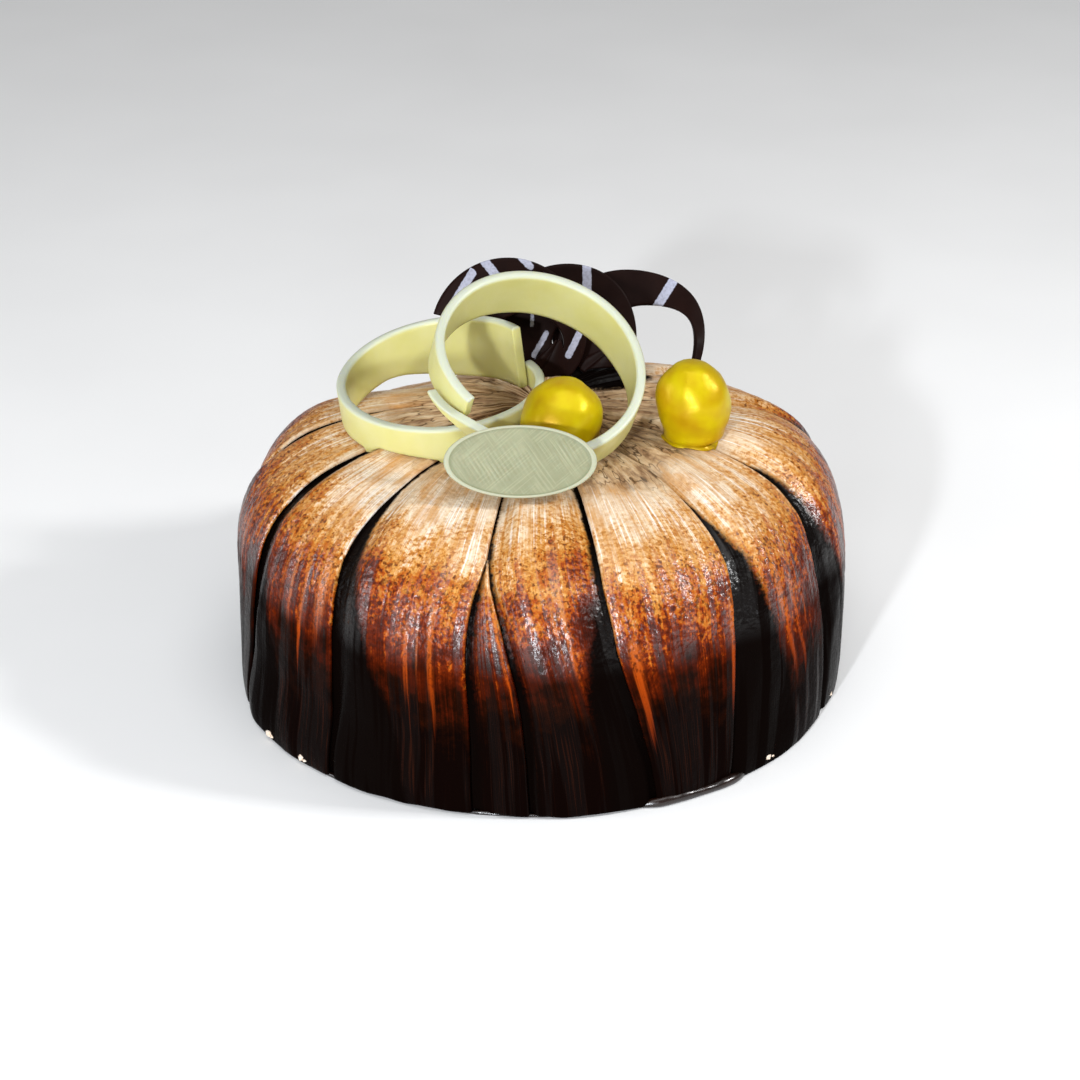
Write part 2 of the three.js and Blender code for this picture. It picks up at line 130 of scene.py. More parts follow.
# The narrow strip: where it comes out, its right edge and how far it tucks under.
NARROW_START = 0.462
NARROW_EDGE = (-12.6, -11.6, -9.8, -8, -6.2, -4.6, -3.6, -2.6, -2)
NARROW_TUCK = 3
NARROW_OVERLAP = 1.6

# Dark flank beside each crease: its width in degrees at these arc lengths from the middle.
FLANK_ARCS = (30, 55, 73, 86, 96, 104, 113, 124, 153)
FLANK_WIDTHS = (0.3, 0.6, 2.7, 4.6, 6.3, 8.4, 9.6, 13, 17)

# Painted shade under the curl: a near-black patch of glaze on the strips round its foot.
CURL_SHADE_PATCH = {"at": (19, 36), "half_width": 13, "half_length": 12}

# Tongues of orange glaze that run down a strip: place across it at the shoulder and at the hem,
# half-width (shares of its width), the arc lengths where they start and end, and strength.
TONGUES = {
    "strip_01": ((0.7, 0.66, 0.05, 84, 124, 0.7), (0.4, 0.42, 0.03, 88, 130, 0.6)),
    "strip_02": (
        (0.6, 0.58, 0.02, 84, 128, 0.8), (0.73, 0.68, 0.024, 84, 136, 0.9),
        (0.92, 0.8, 0.07, 82, 124, 0.85), (0.5, 0.48, 0.02, 86, 122, 0.6),
    ),
    "strip_03": (
        (0.6, 0.62, 0.02, 92, 136, 0.85), (0.76, 0.79, 0.025, 86, 140, 0.9),
        (0.68, 0.7, 0.012, 90, 126, 0.7),
    ),
    "strip_04": (
        (0.58, 0.6, 0.03, 78, 128, 0.95), (0.49, 0.53, 0.016, 82, 122, 0.8),
        (0.08, 0.1, 0.03, 82, 104, 0.8),
    ),
    "strip_05": (
        (0.14, 0.055, 0.05, 95, 146, 1), (0.965, 0.965, 0.03, 88, 143, 0.75),
        (0.75, 0.76, 0.015, 96, 122, 0.5),
    ),
    "strip_06": (
        (0.36, 0.68, 0.045, 84, 142, 0.9), (0.5, 0.79, 0.03, 92, 144, 0.8),
        (0.24, 0.44, 0.04, 84, 132, 0.6), (0.62, 0.88, 0.02, 96, 132, 0.6),
    ),
    "strip_07": ((0.45, 0.5, 0.05, 82, 130, 0.8), (0.7, 0.72, 0.03, 86, 124, 0.7)),
    "strip_narrow": ((0.86, 0.93, 0.07, 84, 131, 0.85),),
}

# Patches that are lighter or darker: share across, arc length, half-width, half-length, and the
# millimetres by which they set the tone back (below 0, lighter) or forward (darker).
PATCHES = {
    "strip_01": ((0.5, 60, 0.4, 30, 6), (0.2, 90, 0.2, 20, 6)),
    "strip_02": ((0.3, 72, 0.13, 30, 9), (0.7, 62, 0.2, 16, -7), (0.95, 70, 0.1, 30, -3)),
    "strip_03": (
        (0.24, 84, 0.14, 26, 8), (0.42, 62, 0.16, 15, -7),
        (0.9, 76, 0.1, 9, -8), (0.62, 66, 0.1, 20, 5),
    ),
    "strip_04": (
        (0.84, 84, 0.13, 40, 17), (0.1, 60, 0.12, 20, 9),
        (0.37, 62, 0.1, 24, -3), (0.6, 60, 0.3, 20, 12),
    ),
    "strip_05": ((0.22, 66, 0.2, 24, -8), (0.9, 75, 0.09, 30, 5), (0.55, 97, 0.3, 9, -5)),
    "strip_06": ((0.3, 70, 0.2, 30, -5), (0.85, 86, 0.13, 20, 5), (0.55, 118, 0.25, 14, -9)),
    "strip_07": ((0.3, 66, 0.15, 25, -3), (0.8, 76, 0.2, 30, 8)),
}

# Tide line: the arc length where the caramel turns dark. Some strips have their own.
TIDE_LINE = 84
TIDE_LINES = {"strip_02": 86, "strip_03": 79, "strip_05": 81, "strip_06": 88}

# White rings: helical ribbons with a tapered width, narrowed or raised round one place. Each of
# those is a share of the way round, its reach and the millimetres.
RING_LYING = {
    "centre": (-30.9, 7.2, 91.3), "lean": 7.4, "lean_towards": -63,
    "radii": (28.3, 29.1, 29.9, 30.7, 31.5), "rise": -13.2, "start": 25.5, "sweep": 365,
    "thickness": 2.8, "widths": (20.5, 20, 16, 11, 8), "steps": 220, "trim": 1,
    "narrowed": (0.255, 0.075, 4.2), "raised": (0, 1, 0),
}
RING_STANDING = {
    "centre": (-0.5, -12.4, 104.6), "lean": 31, "lean_towards": 21.2,
    "radii": (34, 31.9, 31.4, 31.4, 31.3, 31, 29.6), "rise": 8.4, "start": 207, "sweep": 391,
    "thickness": 2.8, "widths": (1.5, 9, 11, 17.5, 17.5, 15, 8), "steps": 230, "trim": 0.98,
    "narrowed": (0, 1, 0), "raised": (0.085, 0.06, 4.2),
}
RING_SINK = 0.7
RING_LEAST_WIDTH = 0.8
RING_COLUMNS = 40
RING_CORNER = 0.6
RIBBON_END_BEVEL = 0.35

# Dark curl: a leaning helical ribbon that stands behind the rings. Its half-width and half-height
# are given at the start, with their change a turn.
CURL = {
    "start": -0.225, "turns": 2.825, "origin": (-10, 38, 75), "advance": (18.3, 6, -1),
    "half_width": (19, -0.2), "half_height": (18.7, -1.7), "lean": 8,
    "inner_ratio": (0.3, 0.5, 0.62), "inner_shift": (5.8, -2.5, -1.4),
    "foot_sweep": 18, "foot_sweep_from": 2, "foot_rise": 5, "thickness": 1.8, "steps": 300, "trim": 0.965,
}
CURL_WAIST = {"at": 1.27, "reach": 0.2, "depth": 2.6}
CURL_COLUMNS = 56
CURL_CORNER = 0.4
# Each stripe: the turns it may lie on, its two ends as (x, z), and its half-width.
CURL_STRIPES = (
    (-0.3, -0.085, (-15.8, 116.1), (-35.3, 87.7), 1.2),
    (-0.08, 0.04, (-25, 119.8), (-13, 106.8), 1.3),
    (-0.06, 0.08, (-14, 119.6), (-3.4, 109.8), 1.05),
    (0.6, 0.95, (-2.9, 94.4), (-2.9, 92), 0.6),
    (0.5, 0.86, (-2.4, 84), (1.5, 90), 0.75),
    (0.15, 0.46, (8.2, 84.6), (17, 101.3), 1.05),
    (0.85, 1.2, (13.7, 121), (13.9, 101), 1.35),
    (1.9, 2.3, (47.2, 111), (30, 86), 1.25),
)

# Gold berries: each has a waist, a small tip and a foot, as shares of its height and radius.
BERRIES = (
    {
        "name": "berry_1", "at": (4.6, -18.4), "radius": 11.9, "height": 22.6,
        "phase": 0.4, "tip_lean": (1.6, 1),
    },
    {
        "name": "berry_2", "at": (44.1, -9), "radius": 10.8, "height": 22.8,
        "phase": 2.1, "tip_lean": (-0.6, 0.4),
    },
)
BERRY_WAIST = 0.5
BERRY_TIP = {"at": 0.97, "reach": 0.05, "size": 0.07}
BERRY_FOOT = {"reach": 0.09, "size": 0.1}
BERRY_KNOBS = 0.035
BERRY_SINK = 0.3
POOL_THICKNESS = 0.6
POOL_RISE = 1.1
POOL_SINK = 0.25

# Oval plaque, leaning back over the top. Its face is hatched inside a thin raised rim.
PLAQUE = {
    "foot": (-6, -50.2), "half_width": 21.4, "half_height": 10.2, "thickness": 1.5,
    "rim_width": 0.6, "rim_height": 0.25, "rim_slope": 0.3, "edge_round": 0.3,
    "hatch_height": 0.035, "lean": 30, "columns": 150, "rows": 96,
}

# Glaze at the hem: a bead just inside the cake's foot, fuller on a wet lip between two angles.
HEM_GLAZE = {
    "size": 0.6, "inside": 2.2, "lip": (17, 42), "lip_size": 0.9, "lip_out": 1.3,
    "columns": 16, "rows": 540,
}

# Crumbs at the hem, as angle from the front, height and size. A height is measured in parts of
# CRUMB_RUN, which is the whole way from the hem to the gathering point.
CRUMB_RUN = 71
HEM_CRUMBS = (
    (-58, 1, 1.2), (-57, 0.8, 0.7), (-47.8, 1, 1.1), (-46.8, 0.8, 0.6), (45.4, 1.4, 1.2),
    (46.6, 1.2, 0.8), (72.2, 1.2, 0.9), (140, 1, 1.2), (-128, 1, 1.1),
)

# Studio: soft rectangular lights, each at an azimuth (0 is the front, 90 the right), an elevation
# and a distance from the point that they all look at.
LIGHTS = (
    {"name": "key", "azimuth": 80, "elevation": 38, "distance": 900, "size": (100, 100), "power": 4.2},
    {
        "name": "front_lamp", "azimuth": -16.5, "elevation": 22, "distance": 1200,
        "size": (60, 60), "power": 8, "colour": (0.94, 0.97, 1),
    },
    {
        "name": "front_window", "azimuth": -6, "elevation": 3, "distance": 1200,
        "size": (140, 80), "power": 5.5, "colour": (0.86, 0.92, 1),
    },
    {
        "name": "left_window", "azimuth": -75, "elevation": 18, "distance": 900,
        "size": (400, 300), "power": 2, "colour": (0.93, 0.96, 1),
    },
    {"name": "overhead", "azimuth": 10, "elevation": 78, "distance": 1100, "size": (900, 900), "power": 4.5},
)
LIGHT_AIM = (0, 0, 60)
WORLD_STRENGTH = 0.26
FLOOR_SIZE = 6000
CAMERA = {"lens": 94.23, "sensor": 36, "at": (-0.5, -752.7, 436.3), "aim": (-0.5, 0, 39.7)}


def mix(a, b, t):
    return a + (b - a) * t


def clamp01(t):
    return min(1.0, max(0.0, t))


def smooth(t):
    t = clamp01(t)
    return t * t * (3 - 2 * t)


def bell(distance, width):
    return math.exp(-((distance / width) ** 2))


def along(values, t):
    """A smooth value from a short list spread evenly over 0 to 1."""
    at = clamp01(t) * (len(values) - 1)
    index = min(len(values) - 2, int(at))
    return mix(values[index], values[index + 1], smooth(at - index))


def look_up(value, keys, values):
    """A straight-line value between the keys."""
    if value <= keys[0]:
        return values[0]
    if value >= keys[-1]:
        return values[-1]
    index = bisect_right(keys, value) - 1
    share = (value - keys[index]) / (keys[index + 1] - keys[index])
    return mix(values[index], values[index + 1], share)


def grain(point, size, seed=0.0):
    """Smooth noise from -1 to 1, with features of about that size."""
    return noise.noise(Vector(point) / size + Vector((seed, seed * 1.7, -seed)))


# The cake's profile, and places on its surface.

def make_profile():
    """Radius, height and arc length from the middle of the top to the base."""
    points = []
    cap_steps = 400
    for i in range(cap_steps + 1):
        turn = math.pi / 2 * (1 - i / cap_steps)
        radius = CAKE_RADIUS * max(0.0, math.cos(turn)) ** (2 / SHOULDER_POWER_OUT) if i else 0.0
        rise = (CAKE_HEIGHT - WALL_HEIGHT) * math.sin(turn) ** (2 / SHOULDER_POWER_UP)
        dish = DISH_DEPTH * (1 - smooth(radius / DISH_RADIUS))
        points.append((radius, WALL_HEIGHT + rise - dish))
    wall_steps = 60
    for i in range(1, wall_steps + 1):
        down = i / wall_steps
        points.append((CAKE_RADIUS - FOOT_TUCK * down**2, WALL_HEIGHT * (1 - down)))
    arcs = [0.0]
    for before, here in zip(points, points[1:]):
        arcs.append(arcs[-1] + math.dist(before, here))
    return arcs, [p[0] for p in points], [p[1] for p in points], cap_steps


ARCS, RADII, HEIGHTS, CAP_END = make_profile()
TOP_ARCS, TOP_RADII = ARCS[: CAP_END - 3], RADII[: CAP_END - 3]
PROFILE_LENGTH = ARCS[-1]


def profile_at(arc):
    """Radius, height and the way out (outwards, upwards) at an arc length."""
    reach = 1.5
    radius, height = look_up(arc, ARCS, RADII), look_up(arc, ARCS, HEIGHTS)
    before, after = max(0.0, arc - reach), min(PROFILE_LENGTH, arc + reach)
    run = look_up(after, ARCS, RADII) - look_up(before, ARCS, RADII)
    fall = look_up(before, ARCS, HEIGHTS) - look_up(after, ARCS, HEIGHTS)
    size = math.hypot(run, fall)
    return radius, height, fall / size, run / size


def arc_at_radius(radius):
    return look_up(radius, TOP_RADII, TOP_ARCS)


SHOULDER_ARC = arc_at_radius(SHOULDER_RADIUS)
WALL_RUN = PROFILE_LENGTH - SHOULDER_ARC


def back_sag(x, y):
    """How far the top sinks towards the back left."""
    reach = BACK_SAG_BACK * y - BACK_SAG_LEFT * x
    return BACK_SAG * smooth((reach - BACK_SAG_NEAR) / (BACK_SAG_FAR - BACK_SAG_NEAR))


def bearing_and_arc(angle, down):
    """Bearing in radians and arc length for an angle round the side and a share of the way down."""
    bearing = math.radians(angle)
    if down >= SHOULDER_AT:
        return bearing, mix(SHOULDER_ARC, PROFILE_LENGTH, (down - SHOULDER_AT) / (1 - SHOULDER_AT))
    spread = down / SHOULDER_AT
    x = SHOULDER_RADIUS * spread * math.sin(bearing)
    y = GATHER_Y * (1 - spread) - SHOULDER_RADIUS * spread * math.cos(bearing)
    return math.atan2(x, -y), arc_at_radius(math.hypot(x, y))


def surface_point(angle, down, offset):
    """A point of the cake, that many millimetres outside its skin."""
    bearing, arc = bearing_and_arc(angle, down)
    radius, height, normal_out, normal_up = profile_at(arc)
    turned = (math.degrees(bearing) + 180) % 360 - 180
    spread = look_up(turned, SPREAD_BEARINGS, SPREAD) * smooth(1 - height / SPREAD_HEIGHT)
    reach = radius + spread + normal_out * offset
    x, y = reach * math.sin(bearing), -reach * math.cos(bearing)
    z = height + normal_up * offset
    sag = back_sag(x, y)
    for at_x, at_y, hollow_reach, depth in HOLLOWS:
        sag += depth * bell(math.dist((x, y), (at_x, at_y)), hollow_reach)
    return Vector((x, y, z - sag * (height / CAKE_HEIGHT) ** 2))


def place_on_top(x, y):
    """Angle and share of the way down for a place on the top."""
    dy = y - GATHER_Y
    a = GATHER_Y**2 - SHOULDER_RADIUS**2
    b = 2 * dy * GATHER_Y
    spread = (-b - math.sqrt(b * b - 4 * a * (x * x + dy * dy))) / (2 * a)
    centre_y = GATHER_Y * (1 - spread)
    return math.degrees(math.atan2(x, centre_y - y)), spread * SHOULDER_AT


# The strips, as seams between which they lie.

def seam_angle(seam, down):
    return look_up((down - SHOULDER_AT) / (1 - SHOULDER_AT), SEAM_SHARES, seam)


def all_seams():
    seams = [tuple(seam) for seam in FRONT_SEAMS]
    last, first = FRONT_SEAMS[-1], tuple(angle + 360 for angle in FRONT_SEAMS[0])
    for i in range(1, BACK_STRIPS):
        wander = BACK_WANDER * math.sin(i * 2.3)
        seams.append(tuple(
            mix(a, b, i / BACK_STRIPS) + wander * (1 - 1.2 * share)
            for a, b, share in zip(last, first, SEAM_SHARES)
        ))
    return seams + [first]


def degree_length(arc):
    """Millimetres round the cake that one degree takes up at an arc length."""
    return math.radians(1) * max(4.0, look_up(arc, ARCS, RADII))


class Strip:
    """One chocolate strip: its two seams, how it lies on its neighbours and its brush strokes."""

    def __init__(self, name, index, left, right):
        self.name = name
        self.index = index
        self.left = left
        self.right = right
        self.left_under = index != HIGHEST_STRIP
        self.right_under = index == LOWEST_STRIP
        self.start = STRIP_START
        self.tongues = list(TONGUES.get(name, ()))
        self.patches = list(PATCHES.get(name, ()))
        self.tide = TIDE_LINES.get(name, TIDE_LINE)
        if name not in TONGUES:
            draw = Random(17 + index)
            for _ in range(5):
                place, start = draw.uniform(0.25, 0.95), draw.uniform(80, 96)
                width, strength = draw.uniform(0.014, 0.06), draw.uniform(0.6, 0.95)
                drift, length = draw.uniform(-0.06, 0.06), draw.uniform(24, 52)
                self.tongues.append((place, place + drift, width, start, start + length, strength))
            for _ in range(4):
                place, arc = draw.uniform(0.2, 0.9), draw.uniform(58, 100)
                width, length = draw.uniform(0.1, 0.25), draw.uniform(10, 30)
                self.patches.append((place, arc, width, length, draw.uniform(-8, 10)))

    def edges(self, down):
        return seam_angle(self.left, down), seam_angle(self.right, down)

    def reach(self, down):
        """Angles of the strip's own edges, with what is tucked under its neighbours."""
        left, right = self.edges(down)
        return left - TUCK_ANGLE * self.left_under, right + TUCK_ANGLE * self.right_under

    def lie(self, share, down):
        """How far the strip's inner face stands off the core."""
        spread = clamp01(down / SHOULDER_AT)
        lift = LIFT * smooth(spread / LIFT_RUN)
        foot = smooth((down - FOOT_FROM) / FOOT_RUN)
        rise_run, fall_run = mix(RISE_RUN, FOOT_RISE_RUN, foot), mix(FALL_RUN, FOOT_FALL_RUN, foot)
        rise = smooth(share / rise_run) if self.left_under else 1.0
        fall = smooth((1 - share) / fall_run) if self.right_under else 1.0
        crown = CROWN * math.sqrt(spread) * math.sin(math.pi * clamp01(share))
        pillow = PILLOW * smooth(spread) * (bell(share - 0.27, 0.15) - bell(share - 0.75, 0.3) * 0.5)
        return GAP + (lift + (crown + pillow) * mix(1, FOOT_CROWN, foot)) * rise * fall

    def flank(self, share, down, arc):
        """Millimetres from the dark flank's border, and below 0 inside the dark."""
        if not self.left_under:
            return 20.0
        left, right = self.edges(down)
        return (share * (right - left) - look_up(arc, FLANK_ARCS, FLANK_WIDTHS)) * degree_length(arc)


class LowStrip(Strip):
    """The lowest strip, which also gives way to the narrow one on its left."""

    def edges(self, down):
        return seam_angle(NARROW_EDGE, down), seam_angle(self.right, down)

    def reach(self, down):
        left, right = self.edges(down)
        tuck = mix(NARROW_TUCK, NARROW_OVERLAP, smooth((down - NARROW_START) / 0.04))
        return left - tuck, right + TUCK_ANGLE

    def flank(self, share, down, arc):
        left, right = self.edges(down)
        side = smooth((arc - 80) / 45)
        from_left = share * (right - left) - mix(0.2, 1.6, side)
        from_right = (1 - share) * (right - left) - mix(1.2, 8, side)
        return min(from_left, from_right) * degree_length(arc)


class NarrowStrip(Strip):
    """The narrow strip that comes out from under its left neighbour at the shoulder."""

    def __init__(self, name, index, left, right):
        super().__init__(name, index, left, right)
        self.right_under = False
        self.start = NARROW_START

    def reach(self, down):
        left, right = self.edges(down)
        return left - NARROW_TUCK, right

    def lie(self, share, down):
        return GAP + LIFT * smooth(share / 0.8) + 0.5 * bell(share - 0.55, 0.25)

    def flank(self, share, down, arc):
        left, right = self.edges(down)
        from_left = share * (right - left) - 1.3 * smooth((arc - 78) / 10)
        return from_left * math.radians(1) * CAKE_RADIUS


def make_strips():
    seams = all_seams()
    strips = []
    for index, (left, right) in enumerate(zip(seams, seams[1:])):
        kind = LowStrip if index == LOWEST_STRIP else Strip
        strips.append(kind(f"strip_{index + 1:02d}", index, left, right))
    strips.append(NarrowStrip("strip_narrow", len(strips), seams[LOWEST_STRIP], NARROW_EDGE))
    return strips


STRIPS = make_strips()


def cover_height(x, y):
    """Height of the strips' outer face at a place on the top."""
    angle, down = place_on_top(x, y)
    highest = 0.0
    for strip in STRIPS:
        if down < strip.start:
            continue
        low, high = strip.reach(down)
        left, right = strip.edges(down)
        for turned in (angle - 360, angle, angle + 360):
            if low <= turned <= high:
                share = (turned - left) / (right - left)
                highest = max(highest, strip.lie(share, down) + STRIP_THICKNESS)
    return surface_point(angle, down, highest - SKIN_DEPTH).z


def highest_cover_near(x, y, reach):
    turns = [i * math.tau / 8 for i in range(8)]
    around = [cover_height(x + reach * math.cos(t), y + reach * math.sin(t)) for t in turns]
    return max([cover_height(x, y)] + around)


# Mesh work.

def face_outwards(bm):
    """Makes the faces of an open sheet look away from the middle of the cake."""
    middle = Vector((0, 0, 20))
    outwards = sum(face.normal.dot(face.calc_center_median() - middle) for face in bm.faces)
    if outwards < 0:
        bmesh.ops.reverse_faces(bm, faces=bm.faces)


def finish_piece(bm, name, node, material):
    """Turns a bmesh in millimetres into a piece in metres that stands for a node."""
    bmesh.ops.recalc_face_normals(bm, faces=bm.faces)
    if any(edge.is_boundary for edge in bm.edges):
        face_outwards(bm)
    bmesh.ops.scale(bm, vec=(MM, MM, MM), verts=bm.verts)
    for face in bm.faces:
        face.smooth = True
    mesh = bpy.data.meshes.new(name)
    bm.to_mesh(mesh)
    bm.free()
    piece = bpy.data.objects.new(name, mesh)
    bpy.context.scene.collection.objects.link(piece)
    mesh.materials.append(material)
    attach(piece, "root")
    if node:
        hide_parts(node)
    return piece


def shares_grid(bm, columns, rows):
    """A grid whose points give shares across and along, from 0 to 1."""
    bmesh.ops.create_grid(bm, x_segments=columns, y_segments=rows, size=0.5)
    for vert in bm.verts:
        vert.co += Vector((0.5, 0.5, 0))


def bunch(t, amount):
    """Moves evenly spread shares towards both ends."""
    return mix(t, 0.5 - 0.5 * math.cos(math.pi * t), amount)


def tongue_mask(strip, share, side, arc):
    """How much of the tongues' orange shows at a place."""
    mask = 0.0
    for at_shoulder, at_hem, width, start, end, strength in strip.tongues:
        fade = smooth((arc - start) / 8) * smooth((end - arc) / 26)
        narrow = mix(1, 0.45, smooth((arc - start) / (end - start)))
        off_line = share - mix(at_shoulder, at_hem, side)
        mask = max(mask, strength * fade * bell(off_line, width * narrow * 1.1))
    return mask


def tone_depth(strip, share, arc):
    """Arc length shifted by the patches and the tide line: it sets how dark the glaze is."""
    depth = arc
    for at, middle, width, length, shift in strip.patches:
        depth += shift * bell(share - at, width) * bell(arc - middle, length)
    tide = strip.tide + 2.2 * grain((share * REFERENCE_WIDTH, strip.index * 7, 0), 5)
    return depth + 5 * smooth((arc - tide) / 2.5) - 5 * smooth((arc - tide) / 40)


def bark_share(strip, share, arc):
    """How crumpled the glaze is: most where the strips gather, further out on some."""
    reach = BARK_REACH + BARK_EXTRA * bell(strip.index - HIGHEST_STRIP - 0.4, 0.9) * smooth(share)
    return 1 - smooth((arc - reach) / BARK_FADE)


def strip_relief(strip, point, share, arc, from_edge):
    """Brush ridges, pimples and soft waves that stand proud of a strip, in millimetres."""
    across = share * REFERENCE_WIDTH
    ridges = grain((across, arc * 0.03, 0), 1.6, strip.index)
    ridges += 0.6 * grain((across, arc * 0.05, 5), 0.9, strip.index)
    pimples = grain((point.x * 1.3, point.y * 1.3, point.z * 0.8), 1.9, 3) + 0.6 * grain(point, 3.4, 8)
    waves = grain(point, 15, strip.index * 2.1)
    gather = bark_share(strip, share, arc)
    pleats = 0.6 - 1.5 * abs(grain((across * 0.8, arc * 0.35, 9), 6, strip.index))
    pleats = (pleats + 0.5 * grain(point, 2.6, 11)) * gather
    ridged = smooth((120 - arc) / 40) * (1 - 0.6 * gather)
    pimply = smooth((arc - 66) / 20) * (1 - 0.65 * smooth((arc - 116) / 12))
    calm = smooth(from_edge / 2.5)
    brushed = RIDGE_HEIGHT * ridges * ridged + PIMPLE_HEIGHT * pimples * pimply
    return calm * (brushed + PLEAT_HEIGHT * pleats) + WAVE_HEIGHT * waves


def curl_shade_distance(place):
    """Millimetres outside the patch of painted shade round the curl's foot."""
    x, y = place.x - CURL_SHADE_PATCH["at"][0], place.y - CURL_SHADE_PATCH["at"][1]
    reach = math.hypot(x / CURL_SHADE_PATCH["half_width"], y / CURL_SHADE_PATCH["half_length"])
    return (reach - 1) * CURL_SHADE_PATCH["half_length"] + 1.5 * grain(place, 5, 2)


def edge_roll(from_edge, down):
    """How far a strip's face drops where its edge rolls over."""
    roll = EDGE_ROLL * smooth(down / 0.12)
    if from_edge >= roll:
        return 0.0
    return roll * (1 - math.sqrt(max(0.0, 1 - (1 - from_edge / roll) ** 2)))


def make_strip(strip, material):
    """A strip's outer face as an open sheet, thickened inwards, with its tones kept on its points."""
    bm = bmesh.new()
    if strip.name == "strip_narrow":
        shares_grid(bm, STRIP_COLUMNS // 3, STRIP_ROWS // 2)
    else:
        shares_grid(bm, STRIP_COLUMNS, STRIP_ROWS)
    melt_with_edge_highlight, tongue, bark, flank = (
        bm.verts.layers.float.new(name) for name in ("melt_with_edge_highlight", "tongue", "bark", "flank")
    )
    spot = bm.verts.layers.float_vector.new("spot")
    thin = bm.verts.layers.deform.verify()
    for vert in bm.verts:
        q = bunch(vert.co.x, EDGE_BUNCH)
        hem = HEM_HEIGHT + HEM_WOBBLE * grain((q * REFERENCE_WIDTH, strip.index * 9, 0), 7)
        down = mix(strip.start, 1 - hem / (2 * WALL_RUN), vert.co.y)
        low, high = strip.reach(down)
        left, right = strip.edges(down)
        angle = mix(low, high, q)
        share = (angle - left) / (right - left)
        bearing, arc = bearing_and_arc(angle, down)
        radius = look_up(arc, ARCS, RADII)
        side = clamp01((down - SHOULDER_AT) / (1 - SHOULDER_AT))
        side_on = smooth(down / SHOULDER_AT)
        degree = math.radians(1) * (radius if side > 0 else SHOULDER_RADIUS * down / SHOULDER_AT)
        from_right = (high - angle) * degree
        from_left = 30 if strip.left_under else (angle - low) * degree
        from_edge = min(from_right, from_left)
        plain = surface_point(angle, down, STRIP_THICKNESS - SKIN_DEPTH)
        inset = INSET * side_on * (1 - smooth((down - INSET_UNTIL) / INSET_FADE))
        offset = strip.lie(share, down) + STRIP_THICKNESS - SKIN_DEPTH - inset
        offset += strip_relief(strip, plain, share, arc, from_edge) - edge_roll(from_edge, down)
        place = surface_point(angle, down, offset)
        vert.co = place
        vert[spot] = Vector((share * REFERENCE_WIDTH + 100 * strip.index, arc, strip.index))
        # Near a free edge the tone is set lighter: a painted highlight along the edge's rolled rim.
        vert[melt_with_edge_highlight] = tone_depth(strip, share, arc) - 10 * bell(from_edge, 0.7) * smooth((arc - 60) / 20)
        vert[tongue] = tongue_mask(strip, share, side, arc)
        vert[bark] = bark_share(strip, share, arc)
        sharp = mix(0.22, 1, smooth((arc - 50) / 55))
        # The flank value also carries the painted shade round the curl's foot.
        vert[flank] = min(strip.flank(share, down, arc) / sharp, curl_shade_distance(place))
        vert[thin][0] = mix(EDGE_THIN, 1, smooth(from_edge / EDGE_THIN_RUN))
    piece = finish_piece(bm, f"{strip.name}_glazed", strip.name, material)
    piece.vertex_groups.new(name="thickness")
    wall = piece.modifiers.new("wall", "SOLIDIFY")
    wall.thickness = (STRIP_THICKNESS - UNDERSIDE_GAP) * MM
    wall.offset = -1
    wall.vertex_group = "thickness"
    return piece


def rounded_section(width, thickness, corner, columns):
    """Points round a rounded rectangle, from 0 to width and from 0 to thickness."""
    corner = min(corner, width * 0.48, thickness * 0.48)
    long_side, short_side = width - 2 * corner, thickness - 2 * corner
    turn = math.pi / 2 * corner
    total = 2 * (long_side + short_side) + 4 * turn
    points = []
    for i in range(columns):
        at = total * i / (columns - 1)
        for start, direction, length in (
            (Vector((corner, 0)), Vector((1, 0)), long_side),
            (Vector((width, corner)), Vector((0, 1)), short_side),
            (Vector((width - corner, thickness)), Vector((-1, 0)), long_side),
            (Vector((0, thickness - corner)), Vector((0, -1)), short_side),
        ):
            if at <= length:
                points.append(start + direction * at)
                break
            at -= length
            if at <= turn:
                swing = at / corner
                inward = Vector((-direction.y, direction.x))
                centre = start + direction * length + inward * corner
                bend = direction * math.sin(swing) - inward * math.cos(swing)
                points.append(centre + corner * bend)
                break
            at -= turn
        else:
            points.append(Vector((corner, 0)))
    return points


def make_ribbon(name, node, material, section_at, steps, columns, corner):
    """A ribbon swept through sections, with rounded edges and closed, rounded ends."""
    bm = bmesh.new()
    shares_grid(bm, columns - 1, steps)
    turn = bm.verts.layers.float.new("turn")
    rim = bm.verts.layers.float.new("rim")
    ready = {}
    for vert in bm.verts:
        column, row = round(vert.co.x * (columns - 1)), round(vert.co.y * steps)
        if row not in ready:
            t = row / steps
            origin, across, width, inward, thickness, value = section_at(t)
            outline = rounded_section(width, thickness, corner, columns)
            ready[row] = origin, across, inward, outline, value
        origin, across, inward, outline, value = ready[row]
        point = outline[column]
        vert.co = origin + across * point.x + inward * point.y
        vert[turn] = value
        # The rim value, millimetres from the upper edge, places the painted highlight on the white rings.
        vert[rim] = point.x
    bmesh.ops.remove_doubles(bm, verts=bm.verts, dist=0.002)
    ends = [edge for edge in bm.edges if edge.is_boundary]
    caps = bmesh.ops.holes_fill(bm, edges=ends, sides=0)["faces"]
    bmesh.ops.recalc_face_normals(bm, faces=bm.faces)
    cap_edges = list({edge for face in caps for edge in face.edges})
    bmesh.ops.bevel(
        bm, geom=cap_edges, offset=RIBBON_END_BEVEL, offset_type="OFFSET", segments=2, profile=0.5,
        affect="EDGES", clamp_overlap=True, material=-1,
    )
    return finish_piece(bm, name, node, material)


